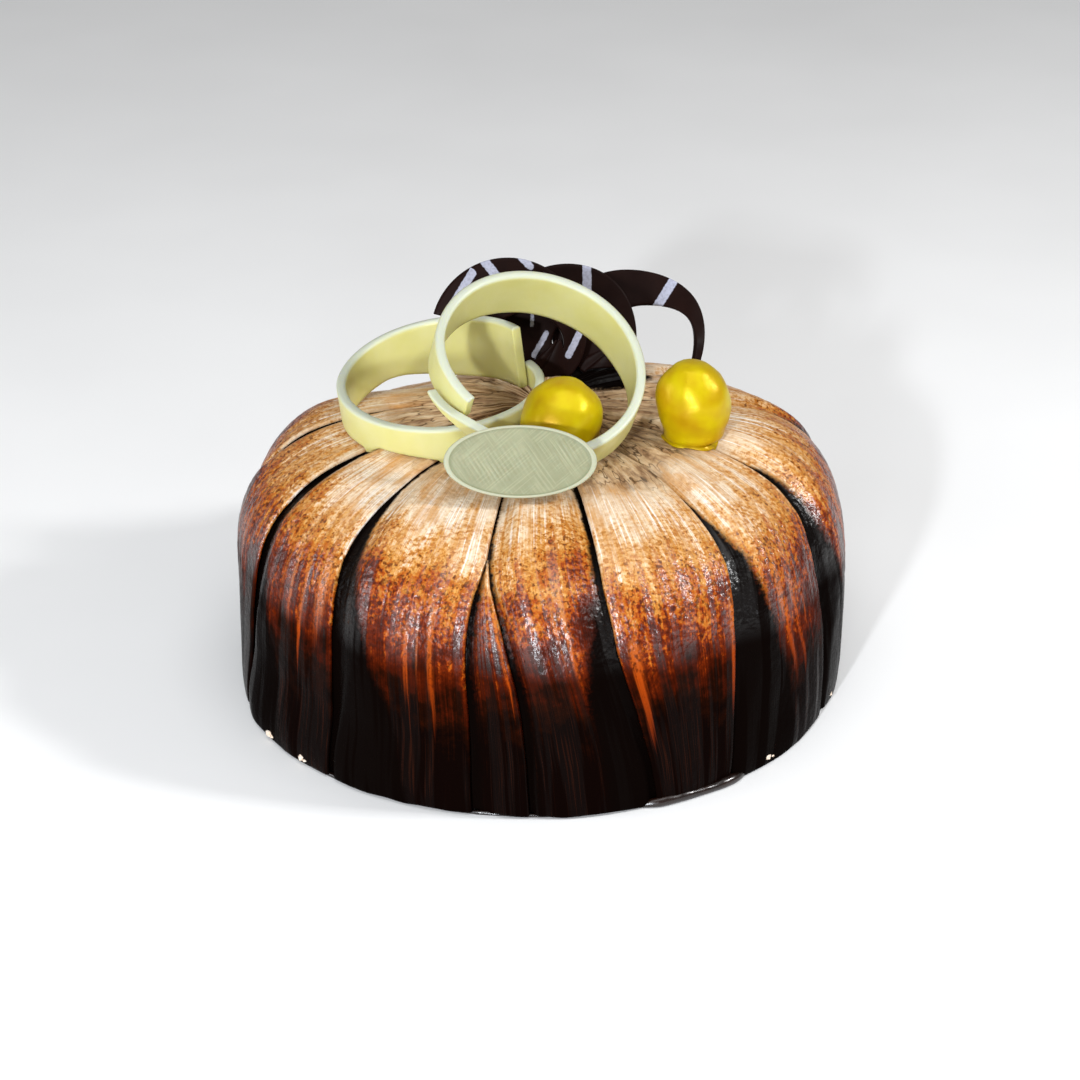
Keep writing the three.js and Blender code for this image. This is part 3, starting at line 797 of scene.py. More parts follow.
def leaning_frame(lean, towards):
    """An axis that leans towards a bearing, and two directions square to it."""
    lean, towards = math.radians(lean), math.radians(towards)
    level = Vector((math.sin(towards), -math.cos(towards), 0))
    axis = level * math.sin(lean) + Vector((0, 0, math.cos(lean)))
    across = Vector((0, 1, 0)).cross(axis).normalized()
    return axis, across, axis.cross(across)


def sunk_width(points, axis, wanted):
    """How far a ribbon's edge goes down before it is well set in the strips."""
    width = wanted
    for point in points:
        while width > RING_LEAST_WIDTH:
            edge = point - axis * width
            if edge.z >= cover_height(edge.x, edge.y) - RING_SINK:
                break
            width -= 0.15
    return max(width, RING_LEAST_WIDTH)


def ring_sections(ring):
    """Sections of a ring for make_ribbon, with its lower edge set in the strips."""
    axis, across, back = leaning_frame(ring["lean"], ring["lean_towards"])

    def place_at(t):
        t *= ring["trim"]
        turn = math.radians(ring["start"] + ring["sweep"] * t)
        turns = ring["sweep"] / 360 * (t - 0.5)
        out = across * math.cos(turn) + back * math.sin(turn)
        radius = along(ring["radii"], t) + 0.12 * grain((t * 60, 0, 0), 9, ring["start"])
        at, reach, lift = ring["raised"]
        along_axis = ring["rise"] * turns + lift * bell(t - at, reach) + 0.15 * grain((t * 60, 4, 0), 7, 3)
        middle = Vector(ring["centre"]) + axis * along_axis
        outside, inside = middle + out * radius, middle + out * (radius - ring["thickness"])
        return outside, inside, axis, out, t

    def width_at(t):
        outside, inside, axis, out, t = place_at(t)
        return sunk_width((outside, inside), axis, along(ring["widths"], t))

    def section_at(t):
        outside, inside, axis, out, turned = place_at(t)
        at, reach, lift = ring["narrowed"]
        open_share = lift * bell(turned - at, reach)
        near = [t + step for step in (-0.024, -0.012, 0, 0.012, 0.024)] if open_share > 0.3 else [t]
        width = sum(width_at(clamp01(one)) for one in near) / len(near) - open_share
        return outside, -axis, width, -out, ring["thickness"], turned

    return section_at


def curl_point(t, ratio, shift):
    """A point of the curl after that many turns, at a share of its half-width from the axis."""
    turn = math.tau * t
    half_width = CURL["half_width"][0] + CURL["half_width"][1] * t
    half_width -= CURL_WAIST["depth"] * bell(t - CURL_WAIST["at"], CURL_WAIST["reach"])
    half_height = CURL["half_height"][0] + CURL["half_height"][1] * t
    forward = smooth((t - CURL["foot_sweep_from"]) * 2)
    origin, advance = Vector(CURL["origin"]), Vector(CURL["advance"])
    loop = Vector((
        half_width * ratio * math.sin(turn),
        CURL["lean"] * ratio * math.cos(turn) - CURL["foot_sweep"] * forward,
        half_height * (1 + ratio * math.cos(turn)) + CURL["foot_rise"] * math.sin(math.pi * forward),
    ))
    return origin + advance * t + Vector(shift) + loop


def curl_section(share):
    t = CURL["start"] + CURL["turns"] * CURL["trim"] * share
    outer = curl_point(t, 1, (0, 0, 0))
    inner = curl_point(t, along(CURL["inner_ratio"], (t - 1) / 2.5 + 0.1), CURL["inner_shift"])
    ahead = (curl_point(t + 0.01, 1, (0, 0, 0)) - curl_point(t - 0.01, 1, (0, 0, 0))).normalized()
    across = (inner - outer).normalized()
    normal = ahead.cross(across).normalized()
    corners = [outer, inner, outer + normal * CURL["thickness"], inner + normal * CURL["thickness"]]
    lift = max([0.0] + [cover_height(c.x, c.y) - 0.3 - c.z for c in corners])
    return outer + Vector((0, 0, lift)), across, (inner - outer).length, normal, CURL["thickness"], t


def stripe_distance(turn, point):
    """Millimetres from the edge of the nearest stripe, and below 0 on a stripe."""
    nearest = 9.0
    for low, high, one, two, half_width in CURL_STRIPES:
        if low <= turn <= high:
            run = Vector((two[0] - one[0], two[1] - one[1]))
            away = Vector((point.x - one[0], point.z - one[1]))
            along_run = run * clamp01(away.dot(run) / run.length_squared)
            nearest = min(nearest, (away - along_run).length - half_width)
    return nearest


def mark_stripes(piece):
    """Keeps each point's distance from the stripes on the curl."""
    mesh = piece.data
    turns = mesh.attributes["turn"].data
    made = mesh.attributes.new("stripe", "FLOAT", "POINT").data
    for index, vert in enumerate(mesh.vertices):
        made[index].value = stripe_distance(turns[index].value, vert.co / MM)


def make_berry(berry, material):
    bm = bmesh.new()
    bmesh.ops.create_uvsphere(bm, u_segments=96, v_segments=72, radius=1)
    x, y = berry["at"]
    base = highest_cover_near(x, y, berry["radius"] * 0.6) - BERRY_SINK
    for vert in bm.verts:
        around = math.atan2(vert.co.y, vert.co.x)
        t = 0.5 + 0.5 * math.sin(math.asin(max(-1, min(1, vert.co.z))))
        reach = BERRY_WAIST / 0.74 if t < BERRY_WAIST else 1 - BERRY_WAIST
        body = math.sqrt(max(0.0, 1 - ((t - BERRY_WAIST) / reach) ** 2))
        tip = BERRY_TIP["size"] * bell(t - BERRY_TIP["at"], BERRY_TIP["reach"])
        foot = BERRY_FOOT["size"] * bell(t, BERRY_FOOT["reach"])
        knob = 1 + BERRY_KNOBS * math.sin(3 * around + berry["phase"] + 2 * t) * body
        radius = berry["radius"] * (body + tip + foot) * knob
        if not 1e-4 <= t <= 1 - 1e-4:
            radius = 0.0
        lean_x, lean_y = berry["tip_lean"]
        centre = Vector((x + lean_x * t, y + lean_y * t, base + berry["height"] * t))
        point = centre + Vector((math.cos(around), math.sin(around), 0)) * radius
        lumps = 0.5 * grain(point, 8, berry["phase"])
        lumps += 0.12 * grain(point, 3.4, 5) + 0.03 * grain(point, 1.2, 7)
        outwards = (point - Vector((x, y, base + berry["height"] * 0.5))).normalized()
        vert.co = point + outwards * lumps * smooth(t / 0.1)
    return finish_piece(bm, f"{berry['name']}_gilded", berry["name"], material)


def make_berry_pool(berry, material):
    """The glaze that has run out round a berry's foot."""
    bm = bmesh.new()
    bmesh.ops.create_circle(bm, cap_ends=True, cap_tris=True, segments=72, radius=1)
    inner = bmesh.ops.inset_region(bm, faces=bm.faces, thickness=0.3, depth=0)["faces"]
    bmesh.ops.subdivide_edges(bm, edges=bm.edges, cuts=1, use_grid_fill=True)
    x, y = berry["at"]
    for vert in bm.verts:
        reach = vert.co.xy.length
        around = math.atan2(vert.co.y, vert.co.x)
        wavy = 0.05 * math.sin(2 * around + berry["phase"]) + 0.04 * math.sin(5 * around)
        spread = berry["radius"] * (0.72 + wavy)
        place = Vector((x - 0.8, y - 0.6)) + Vector((math.cos(around), math.sin(around))) * reach * spread
        height = POOL_RISE * math.sqrt(max(0.0, 1 - reach**2)) - POOL_SINK
        vert.co = Vector((place.x, place.y, cover_height(place.x, place.y) + height))
    bmesh.ops.triangulate(bm, faces=inner)
    piece = finish_piece(bm, f"{berry['name']}_pool", None, material)
    wall = piece.modifiers.new("wall", "SOLIDIFY")
    wall.thickness = POOL_THICKNESS * MM
    wall.offset = -1
    return piece


def make_plaque(material):
    """The oval plaque: a hatched face, a thin raised rim and a plain back."""
    size = PLAQUE
    lean = math.radians(size["lean"])
    up = Vector((0, math.sin(lean), math.cos(lean)))
    front = Vector((0, -math.cos(lean), math.sin(lean)))
    foot = highest_cover_near(*size["foot"], 6) + GAP
    centre = Vector((*size["foot"], foot)) + up * size["half_height"]
    bm = bmesh.new()
    shares_grid(bm, size["columns"], size["rows"])
    rim = bm.verts.layers.float.new("rim")
    for vert in bm.verts:
        turn = math.tau * vert.co.x
        reach = vert.co.y
        inset = (1 - reach) * size["half_height"]
        x = mix(0, size["half_width"], reach) * math.cos(turn)
        y = mix(0, size["half_height"], reach) * math.sin(turn)
        depth = size["thickness"] - size["rim_height"]
        to_face = size["rim_width"] + size["rim_slope"] - inset
        if to_face > 0:
            depth += size["rim_height"] * smooth(to_face / size["rim_slope"])
            rolled = max(0.0, 1 - inset / size["edge_round"])
            depth -= size["edge_round"] * (1 - math.sqrt(max(0.0, 1 - rolled**2)))
        else:
            hatch = math.sin((x + 0.62 * y) * 4.6 + 0.5 * grain((x, y, 0), 5))
            hatch += 0.7 * math.sin((x - 1.1 * y) * 3.4)
            fade = 0.5 + 0.5 * grain((x, y, 3), 6)
            depth += size["hatch_height"] * hatch * fade + 0.03 * grain((x, y, 7), 1.6)
        vert.co = centre + Vector((x, 0, 0)) + up * y + front * depth
        vert[rim] = inset
    bmesh.ops.remove_doubles(bm, verts=bm.verts, dist=0.001)
    border = [edge for edge in bm.edges if edge.is_boundary]
    wall = bmesh.ops.extrude_edge_only(bm, edges=border)["geom"]
    low = [g for g in wall if isinstance(g, bmesh.types.BMVert)]
    bmesh.ops.translate(bm, verts=low, vec=-front * (size["thickness"] - size["edge_round"]))
    bmesh.ops.holes_fill(bm, edges=[edge for edge in bm.edges if edge.is_boundary], sides=0)
    return finish_piece(bm, "plaque_moulded", "plaque", material)


def make_body(material):
    """The cake under the strips, closed below."""
    bm = bmesh.new()
    shares_grid(bm, 180, 130)
    for vert in bm.verts:
        angle, down = vert.co.x * 360, mix(0.001, 1, vert.co.y)
        place = surface_point(angle, down, -SKIN_DEPTH - INSET * smooth(down / 0.1))
        place += Vector((0, 0, 0.5 * grain(place, 3) * (1 - smooth(down / 0.2))))
        place.z = 0.0 if down > 0.999 else place.z
        vert.co = place
    bmesh.ops.remove_doubles(bm, verts=bm.verts, dist=0.02)
    bmesh.ops.holes_fill(bm, edges=[edge for edge in bm.edges if edge.is_boundary], sides=0)
    return finish_piece(bm, "cake_body", "cake_core", material)


def make_hem_glaze(material):
    """The uneven bead of glaze that has run down to the foot of the cake."""
    bm = bmesh.new()
    glaze = HEM_GLAZE
    shares_grid(bm, glaze["columns"], glaze["rows"])
    lip_from, lip_to = glaze["lip"]
    for vert in bm.verts:
        around = math.tau * vert.co.y
        angle = math.degrees(around) - 180
        spot = Vector((math.cos(around), math.sin(around), 0)) * CAKE_RADIUS
        wet = smooth((angle - lip_from) / 5) * smooth((lip_to - angle) / 5)
        size = glaze["size"] + 0.3 * grain(spot, 9) + 0.2 * grain(spot, 3.5, 4) + glaze["lip_size"] * wet
        turn = math.tau * vert.co.x
        reach = surface_point(angle, 1, 0).xy.length - glaze["inside"] + glaze["lip_out"] * wet
        reach += 0.5 * grain(spot, 14, 6) + size * math.cos(turn)
        height = max(0.02, size * (0.85 + 0.95 * math.sin(turn)))
        bearing = math.radians(angle)
        vert.co = Vector((reach * math.sin(bearing), -reach * math.cos(bearing), height))
    bmesh.ops.remove_doubles(bm, verts=bm.verts, dist=0.01)
    return finish_piece(bm, "hem_glaze", None, material)


def make_crumbs(material):
    """Crumbs of cream and chocolate caught along the hem."""
    bm = bmesh.new()
    draw = Random(5)
    for angle, height, size in HEM_CRUMBS:
        down = 1 - height / CRUMB_RUN
        place = surface_point(angle, down, -INSET)
        made = bmesh.ops.create_icosphere(bm, subdivisions=3, radius=1)["verts"]
        stretch = Vector((draw.uniform(0.8, 1.5), draw.uniform(0.7, 1), draw.uniform(0.6, 0.9))) * size
        for vert in made:
            bump = 1 + 0.35 * grain(vert.co, 0.7, angle)
            vert.co = place + Vector(a * b for a, b in zip(vert.co * bump, stretch))
            vert.co.z = max(0.05, vert.co.z)
    return finish_piece(bm, "hem_crumbs", None, material)


# Materials.

def tint(red, green, blue):
    """A colour from screen values of 0 to 255."""
    def linear(value):
        value /= 255
        return value / 12.92 if value <= 0.04045 else ((value + 0.055) / 1.055) ** 2.4
    return linear(red), linear(green), linear(blue), 1.0


class Finish:
    """A material built from procedural nodes."""

    def __init__(self, name, roughness=0.4, specular=0.5, coat=0.0, coat_roughness=0.1):
        self.material = bpy.data.materials.new(name)
        self.material.use_nodes = True
        self.tree = self.material.node_tree
        self.shader = self.tree.nodes["Principled BSDF"]
        self.shader.inputs["Roughness"].default_value = roughness
        self.shader.inputs["Specular IOR Level"].default_value = specular
        self.shader.inputs["Coat Weight"].default_value = coat
        self.shader.inputs["Coat Roughness"].default_value = coat_roughness

    def node(self, kind, feeds=(), **settings):
        made = self.tree.nodes.new(kind)
        for key, value in settings.items():
            setattr(made, key, value)
        for key, value in dict(feeds).items():
            self.feed(made.inputs[key], value)
        return made

    def feed(self, socket, value):
        if isinstance(value, bpy.types.NodeSocket):
            self.tree.links.new(value, socket)
        else:
            socket.default_value = value

    def place(self):
        """Object coordinates in millimetres."""
        return self.stretched(self.node("ShaderNodeTexCoord").outputs["Object"], (1 / MM, 1 / MM, 1 / MM))

    def attribute(self, name, vector=False):
        made = self.node("ShaderNodeAttribute", attribute_name=name)
        return made.outputs["Vector" if vector else "Fac"]

    def stretched(self, vector, scale):
        return self.node("ShaderNodeMapping", {"Vector": vector, "Scale": scale}).outputs["Vector"]

    def noise(self, vector, scale, detail=2.0, roughness=0.5):
        feeds = {"Vector": vector, "Scale": scale, "Detail": detail, "Roughness": roughness}
        return self.node("ShaderNodeTexNoise", feeds).outputs["Fac"]

    def streaks(self, vector, scale, detail=2.0, roughness=0.5, size=1):
        """Noise that is drawn out where the scale is small."""
        return self.noise(self.stretched(vector, scale), size, detail, roughness)

    def math(self, operation, a, b=0.0, c=0.0, clamp=False):
        feeds = {0: a, 1: b, 2: c}
        return self.node("ShaderNodeMath", feeds, operation=operation, use_clamp=clamp).outputs[0]

    def times(self, value, *others):
        for other in others:
            value = self.math("MULTIPLY", value, other)
        return value

    def plus(self, value, *others):
        for other in others:
            value = self.math("ADD", value, other)
        return value

    def swing(self, value, amount):
        """Noise of 0 to 1 as a swing of that many units either way."""
        return self.math("MULTIPLY_ADD", value, 2 * amount, -amount)

    def span(self, value, low, high, to_low=0.0, to_high=1.0):
        """A soft step from to_low to to_high, as the value goes from low to high."""
        feeds = {"Value": value, "From Min": low, "From Max": high, "To Min": to_low, "To Max": to_high}
        return self.node("ShaderNodeMapRange", feeds, interpolation_type="SMOOTHSTEP").outputs["Result"]

    def ramp(self, value, stops):
        made = self.node("ShaderNodeValToRGB", {"Fac": value})
        elements = made.color_ramp.elements
        while len(elements) < len(stops):
            elements.new(0.5)
        for element, (position, colour) in zip(elements, stops):
            element.position = position
            element.color = colour
        return made.outputs["Color"]

    def clouded(self, cloud, dark, light):
        """A colour between two screen colours, by a noise of 0 to 1."""
        return self.ramp(cloud, ((0.3, tint(*dark)), (0.7, tint(*light))))

    def blend(self, share, a, b):
        return self.node("ShaderNodeMix", {0: share, 6: a, 7: b}, data_type="RGBA").outputs[2]

    def bump(self, height, strength, distance, under=None):
        feeds = {"Height": height, "Strength": strength, "Distance": distance * MM}
        if under is not None:
            feeds["Normal"] = under
        return self.node("ShaderNodeBump", feeds).outputs["Normal"]

    def set(self, **sockets):
        for key, value in sockets.items():
            self.feed(self.shader.inputs[key.replace("_", " ")], value)
        return self.material


class MarbledGlaze(Finish):
    """Cream at the top melting through caramel and red-brown to black, in brush strokes."""

    def __init__(self):
        super().__init__("marbled_chocolate_glaze")
        self.at = self.place()
        self.spot = self.attribute("spot", vector=True)
        self.arc = self.node("ShaderNodeSeparateXYZ", {0: self.spot}).outputs["Y"]
        self.bark = self.attribute("bark")
        self.broad = self.streaks(self.spot, (0.22, 0.012, 1))
        self.strokes = self.streaks(self.spot, (0.75, 0.02, 1), 3, 0.6)
        self.hairs = self.streaks(self.spot, (1.9, 0.04, 1), 2, 0.6)
        self.stains = self.streaks(self.spot, (0.13, 0.045, 1), 3, 0.6)
        self.blotches = self.noise(self.at, 0.12, 3, 0.6)
        self.speckle = self.noise(self.at, 0.8, 3, 0.6)
        self.fine = self.streaks(self.at, (0.9, 0.9, 0.6), 3, 0.6)
        self.depth = self.melted_depth()
        self.dark = self.dark_flank_and_curl_shade()

    def melted_depth(self):
        """How dark the glaze has melted, in millimetres of arc length, ragged with the strokes."""
        depth = self.attribute("melt_with_edge_highlight")
        for value, amount in ((self.broad, 16), (self.strokes, 13), (self.hairs, 8)):
            depth = self.plus(depth, self.swing(value, amount))
        depth = self.plus(depth, self.swing(self.span(self.blotches, 0.32, 0.68), 6))
        grainy = self.times(self.span(depth, 50, 76, 0.35, 1), self.span(depth, 108, 94, 0.15, 1))
        speckles = self.swing(self.span(self.speckle, 0.32, 0.68), 8)
        return self.math("MULTIPLY_ADD", speckles, grainy, depth)

    def dark_flank_and_curl_shade(self):
        """The share of dark ganache beside the creases, and of painted shade in the patch round the curl's
        foot, with a ragged border.
        """
        border = self.plus(
            self.attribute("flank"), self.swing(self.speckle, 2.4), self.swing(self.blotches, 2.4),
        )
        return self.span(border, -1.0, 2.6, 1, 0)

    def melting_tones(self):
        tones = self.ramp(self.math("DIVIDE", self.depth, 150, clamp=True), (
            (0.05, tint(138, 106, 76)),
            (0.26, tint(196, 156, 112)),
            (0.36, tint(226, 205, 176)),
            (0.44, tint(218, 178, 128)),
            (0.51, tint(202, 142, 70)),
            (0.58, tint(184, 104, 32)),
            (0.64, tint(152, 64, 10)),
            (0.675, tint(102, 32, 5)),
            (0.73, tint(60, 15, 3)),
            (0.79, tint(26, 7, 2)),
            (0.86, tint(9, 3, 2)),
        ))
        golden = self.times(self.span(self.stains, 0.47, 0.6, 0, 0.62), self.span(self.depth, 92, 74, 0, 1))
        return self.blend(golden, tones, tint(196, 136, 58))

    def sponge_marks(self, bed):
        pores = self.math("MAXIMUM", self.span(self.speckle, 0.5, 0.62), self.span(self.fine, 0.5, 0.62))
        reach = (self.span(self.depth, 50, 74, 0.14, 0.58), self.span(self.depth, 98, 84, 0, 1))
        return self.blend(self.times(pores, *reach), bed, tint(156, 92, 30))

    def brush_lines(self, bed):
        """Brown brush lines on the cream, and pale ones between them."""
        creamy = self.times(self.span(self.depth, 84, 62, 0, 1), self.math("SUBTRACT", 1.0, self.bark))
        drawn = self.times(self.span(self.strokes, 0.52, 0.64, 0, 0.5), creamy)
        bed = self.blend(drawn, bed, tint(188, 128, 66))
        pale = self.times(
            self.span(self.hairs, 0.46, 0.6, 0, 0.9),
            self.span(self.strokes, 0.54, 0.42),
            self.span(self.broad, 0.36, 0.54, 0.35, 1),
            self.span(self.stains, 0.6, 0.46, 0.3, 1),
            creamy,
        )
        return self.blend(pale, bed, tint(242, 238, 233))

    def crumpled_bark(self, bed):
        """Brown bark where the strips gather, with painted shade in its creases."""
        husk = self.streaks(self.spot, (0.16, 0.08, 1), 4, 0.65)
        husk = self.ramp(self.plus(husk, self.span(self.arc, 10, 34, -0.13, 0.02)), (
            (0.30, tint(72, 48, 30)),
            (0.42, tint(138, 108, 80)),
            (0.53, tint(188, 158, 122)),
            (0.68, tint(214, 194, 164)),
        ))
        # Thin dark lines: painted shade in the creases of the crumpled bark.
        crease_shade = self.streaks(self.spot, (0.12, 0.06, 1), size=1.3)
        crease_shade = self.math("ABSOLUTE", self.math("SUBTRACT", crease_shade, 0.5))
        husk = self.blend(self.span(crease_shade, 0.004, 0.022, 0.85, 0), husk, tint(40, 24, 16))
        return self.blend(self.times(self.bark, 0.92), bed, husk)

    def orange_tongues(self, bed):
        """Orange glaze that runs down into the dark."""
        glow = self.ramp(self.math("DIVIDE", self.arc, 150, clamp=True), (
            (0.55, tint(204, 138, 62)),
            (0.64, tint(186, 98, 30)),
            (0.74, tint(168, 66, 12)),
            (0.84, tint(120, 42, 10)),
            (0.95, tint(66, 20, 7)),
        ))
        tongue = self.attribute("tongue")
        run = self.plus(tongue, self.swing(self.hairs, 0.5), self.swing(self.strokes, 0.4))
        run = self.times(self.span(run, 0.2, 0.95, 0, 0.85), self.span(tongue, 0.04, 0.3))
        return self.blend(run, bed, glow)

    def low_streaks(self, bed):
        """Faint brown streaks low down."""
        faint = self.times(
            self.span(self.hairs, 0.52, 0.7, 0, 0.36),
            self.span(self.broad, 0.42, 0.58),
            self.span(self.depth, 100, 116),
        )
        return self.blend(faint, bed, tint(58, 24, 10))

    def pit_shade(self, bed):
        """Painted shade in the hollows between the pimples."""
        pitted = self.times(self.span(self.depth, 74, 86, 0, 0.75), self.span(self.depth, 118, 104, 0, 1))
        pit_shade_mask = self.times(self.span(self.fine, 0.52, 0.38), pitted)
        return self.blend(pit_shade_mask, bed, tint(52, 14, 4))

    def gloss(self):
        """The wet sheen, in bands: strongest over the shoulder, almost none on the walls."""
        runny = self.plus(self.broad, self.swing(self.strokes, 0.12))
        return self.times(
            self.span(self.arc, 58, 84, 0.12, 1),
            self.span(runny, 0.47, 0.57, 0.16, 1.1),
            self.span(self.arc, 111, 97, 0.025, 1),
            self.span(self.dark, 0, 1, 1, 0.38),
        )

    def relief(self):
        strength = self.times(
            self.span(self.arc, 70, 88, 0.5, 0.9),
            self.span(self.arc, 114, 100, 0.15, 1),
            self.span(self.dark, 0, 1, 1, 0.6),
        )
        lumps = self.math("MULTIPLY_ADD", self.noise(self.at, 0.55, 1), 2, self.fine)
        return self.bump(self.hairs, 0.25, 0.2, self.bump(lumps, strength, 0.32))


def marbled_finish():
    glaze = MarbledGlaze()
    colour = glaze.melting_tones()
    for layer in (
        glaze.sponge_marks, glaze.brush_lines, glaze.crumpled_bark,
        glaze.orange_tongues, glaze.low_streaks, glaze.pit_shade,
    ):
        colour = layer(colour)
    # Near-black on the dark flanks, and painted shade in the patch round the curl's foot.
    colour = glaze.blend(glaze.dark, colour, tint(8, 4, 3))
    shine = glaze.plus(glaze.span(glaze.arc, 60, 86, 0.42, 0.27), glaze.swing(glaze.speckle, 0.1))
    return glaze.set(
        Base_Color=colour, Roughness=shine, Specular_IOR_Level=glaze.gloss(), Normal=glaze.relief(),
    )


def ganache_finish(name, specular):
    """Near-black ganache, cloudy with brown."""
    finish = Finish(name, specular=specular)
    place = finish.place()
    cloud = finish.noise(place, 0.2, 3)
    colour = finish.clouded(cloud, (10, 5, 3), (30, 12, 6))
    rough = finish.span(finish.noise(place, 0.6, 2), 0.3, 0.7, 0.18, 0.34)
    return finish.set(Base_Color=colour, Roughness=rough, Normal=finish.bump(cloud, 0.3, 0.3))


def white_chocolate_finish():
    """Soft yellow white chocolate, whiter along its upper edge as a painted highlight where the light from
    above falls.
    """
    finish = Finish("white_chocolate_satin", specular=0.4, coat=0.1, coat_roughness=0.3)
    place = finish.place()
    cloud = finish.noise(place, 0.09, 3)
    face = finish.clouded(cloud, (202, 197, 124), (208, 204, 142))
    # A whiter band along the upper edge: a painted highlight of the light from above.
    rim = finish.span(finish.attribute("rim"), 0.0, 1.3, 1, 0)
    colour = finish.blend(rim, face, tint(190, 195, 176))
    fine = finish.noise(place, 1.8, 3)
    rough = finish.span(fine, 0.3, 0.7, 0.36, 0.5)
    finish.shader.inputs["Subsurface Weight"].default_value = 0.35
    finish.shader.inputs["Subsurface Radius"].default_value = (1.0, 0.8, 0.2)
    finish.shader.inputs["Subsurface Scale"].default_value = 2.2 * MM
    return finish.set(Base_Color=colour, Roughness=rough, Normal=finish.bump(fine, 0.12, 0.1))


def dark_chocolate_finish():
    """Tempered dark chocolate with pale printed stripes across it."""
    finish = Finish("dark_chocolate_temper", specular=0.05)
    place = finish.place()
    edge = finish.plus(finish.attribute("stripe"), finish.swing(finish.noise(place, 1.1, 2), 0.25))
    stripes = finish.span(edge, -0.12, 0.12, 1, 0)
    cloud = finish.noise(place, 0.12, 3)
    face = finish.clouded(cloud, (22, 10, 8), (32, 17, 14))
    worn = finish.span(finish.noise(place, 1.3, 3), 0.3, 0.6, 0.75, 1)
    colour = finish.blend(finish.times(stripes, worn), face, tint(172, 174, 192))
    rough = finish.span(finish.noise(place, 0.4, 2), 0.3, 0.7, 0.4, 0.5)
    return finish.set(Base_Color=colour, Roughness=rough, Normal=finish.bump(cloud, 0.15, 0.3))


def gold_finish():
    """Gold lustre brushed over a berry, deeper in cloudy patches, with a few bare specks."""
    finish = Finish("gold_lustre", specular=0.2)
    place = finish.place()
    cloud = finish.noise(place, 0.12, 2)
    colour = finish.ramp(cloud, (
        (0.3, tint(180, 142, 0)), (0.5, tint(190, 161, 0)), (0.7, tint(200, 180, 0)),
    ))
    specks = finish.span(finish.noise(place, 0.6, 2), 0.7, 0.8, 0, 0.4)
    colour = finish.blend(specks, colour, tint(160, 108, 6))
    fine = finish.noise(place, 1.6, 3, 0.6)
    rough = finish.span(fine, 0.35, 0.65, 0.3, 0.4)
    finish.shader.inputs["Metallic"].default_value = 0.2
    return finish.set(Base_Color=colour, Roughness=rough, Normal=finish.bump(fine, 0.06, 0.1))


def plaque_finish():
    """Ivory chocolate with fine crossed hatching in patches, a paler rim, and a darker line just inside the
    rim that is painted shade at its foot.
    """
    finish = Finish("ivory_chocolate", roughness=0.42, specular=0.4)
    place = finish.place()
    cloud = finish.noise(place, 0.15, 3)
    colour = finish.clouded(cloud, (128, 129, 98), (138, 139, 108))
    patches = finish.noise(place, 0.16, 2)
    for turned, low, high in ((0.7, 0.42, 0.58), (-0.95, 0.58, 0.42)):
        feeds = {"Vector": place, "Rotation": (0, turned, 0)}
        lines = finish.node("ShaderNodeMapping", feeds).outputs["Vector"]
        lines = finish.streaks(lines, (1.9, 0.02, 0.02), 3)
        drawn = finish.times(finish.span(lines, 0.5, 0.58, 0, 0.4), finish.span(patches, low, high, 0.15, 1))
        colour = finish.blend(drawn, colour, tint(156, 158, 126))
    rim = finish.attribute("rim")
    # A darker line just inside the raised rim: painted shade at its foot.
    colour = finish.blend(finish.span(rim, 1.35, 1.0, 0, 0.5), colour, tint(118, 121, 90))
    colour = finish.blend(finish.span(rim, 0.8, 0.6, 0, 1), colour, tint(164, 166, 140))
    finish.shader.inputs["Subsurface Weight"].default_value = 0.15
    finish.shader.inputs["Subsurface Scale"].default_value = 1.2 * MM
    return finish.set(Base_Color=colour, Normal=finish.bump(patches, 0.1, 0.1))


def crumb_finish():
    finish = Finish("cream_crumb", roughness=0.55)
    place = finish.place()
    cloud = finish.noise(place, 0.8, 3)
    colour = finish.clouded(cloud, (214, 186, 160), (240, 228, 214))
    return finish.set(Base_Color=colour, Normal=finish.bump(cloud, 0.4, 0.3))


def floor_finish():
    finish = Finish("pale_floor", roughness=0.6, specular=0.2)
    cloud = finish.noise(finish.place(), 0.01, 2)
    colour = finish.clouded(cloud, (244, 244, 244), (248, 248, 248))
    return finish.set(Base_Color=colour)


# Pieces.

marbled = marbled_finish()
ganache = ganache_finish("glossy_dark_ganache", 0.04)
wet_ganache = ganache_finish("wet_dark_ganache", 0.7)
white_chocolate = white_chocolate_finish()
dark_chocolate = dark_chocolate_finish()
gold = gold_finish()

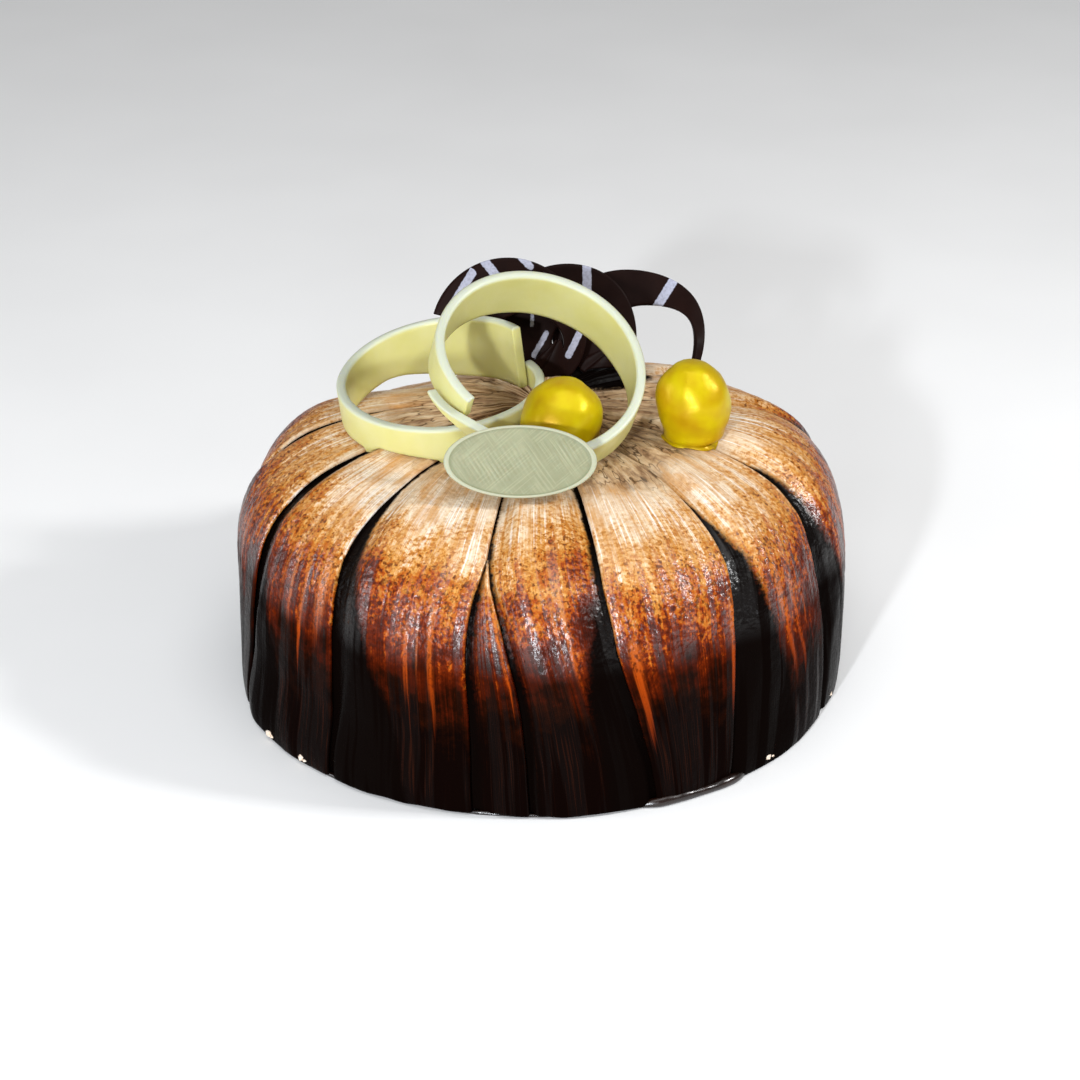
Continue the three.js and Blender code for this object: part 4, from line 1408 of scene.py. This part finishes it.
make_body(ganache)
for strip in STRIPS:
    make_strip(strip, marbled)
for name, ring in (("ring_lying", RING_LYING), ("ring_standing", RING_STANDING)):
    make_ribbon(
        f"{name}_white", name, white_chocolate,
        ring_sections(ring), ring["steps"], RING_COLUMNS, RING_CORNER,
    )
mark_stripes(make_ribbon(
    "dark_curl_striped", "dark_curl", dark_chocolate,
    curl_section, CURL["steps"], CURL_COLUMNS, CURL_CORNER,
))
for berry in BERRIES:
    make_berry(berry, gold)
    make_berry_pool(berry, gold)
make_plaque(plaque_finish())
make_hem_glaze(wet_ganache)
make_crumbs(crumb_finish())


# Floor, light and camera.

def make_floor():
    bm = bmesh.new()
    bmesh.ops.create_grid(bm, x_segments=4, y_segments=4, size=FLOOR_SIZE * MM)
    mesh = bpy.data.meshes.new("floor")
    bm.to_mesh(mesh)
    bm.free()
    floor = bpy.data.objects.new("floor", mesh)
    mesh.materials.append(floor_finish())
    bpy.context.scene.collection.objects.link(floor)


def add_light(name, azimuth, elevation, distance, size, power, colour=(1, 1, 1)):
    """A soft rectangular light that looks at the cake."""
    azimuth, elevation = math.radians(azimuth), math.radians(elevation)
    level = Vector((math.sin(azimuth), -math.cos(azimuth), 0))
    away = level * math.cos(elevation) + Vector((0, 0, math.sin(elevation)))
    data = bpy.data.lights.new(name, "AREA")
    data.shape = "RECTANGLE"
    data.size, data.size_y = size[0] * MM, size[1] * MM
    data.energy = power
    data.color = colour
    light = bpy.data.objects.new(name, data)
    light.location = (away * distance + Vector(LIGHT_AIM)) * MM
    light.rotation_mode = "QUATERNION"
    light.rotation_quaternion = (-away).to_track_quat("-Z", "Y")
    bpy.context.scene.collection.objects.link(light)


def make_world():
    world = bpy.data.worlds.new("studio")
    world.use_nodes = True
    background = world.node_tree.nodes["Background"]
    background.inputs["Color"].default_value = (1, 1, 1, 1)
    background.inputs["Strength"].default_value = WORLD_STRENGTH
    bpy.context.scene.world = world


def make_camera():
    data = bpy.data.cameras.new("camera")
    data.lens = CAMERA["lens"]
    data.sensor_width = CAMERA["sensor"]
    camera = bpy.data.objects.new("camera", data)
    camera.location = Vector(CAMERA["at"]) * MM
    aim = Vector(CAMERA["aim"]) * MM - camera.location
    camera.rotation_mode = "QUATERNION"
    camera.rotation_quaternion = aim.to_track_quat("-Z", "Y")
    bpy.context.scene.collection.objects.link(camera)
    bpy.context.scene.camera = camera


make_floor()
make_world()
make_camera()
for light in LIGHTS:
    add_light(**light)
bpy.context.scene.view_settings.view_transform = "Standard"
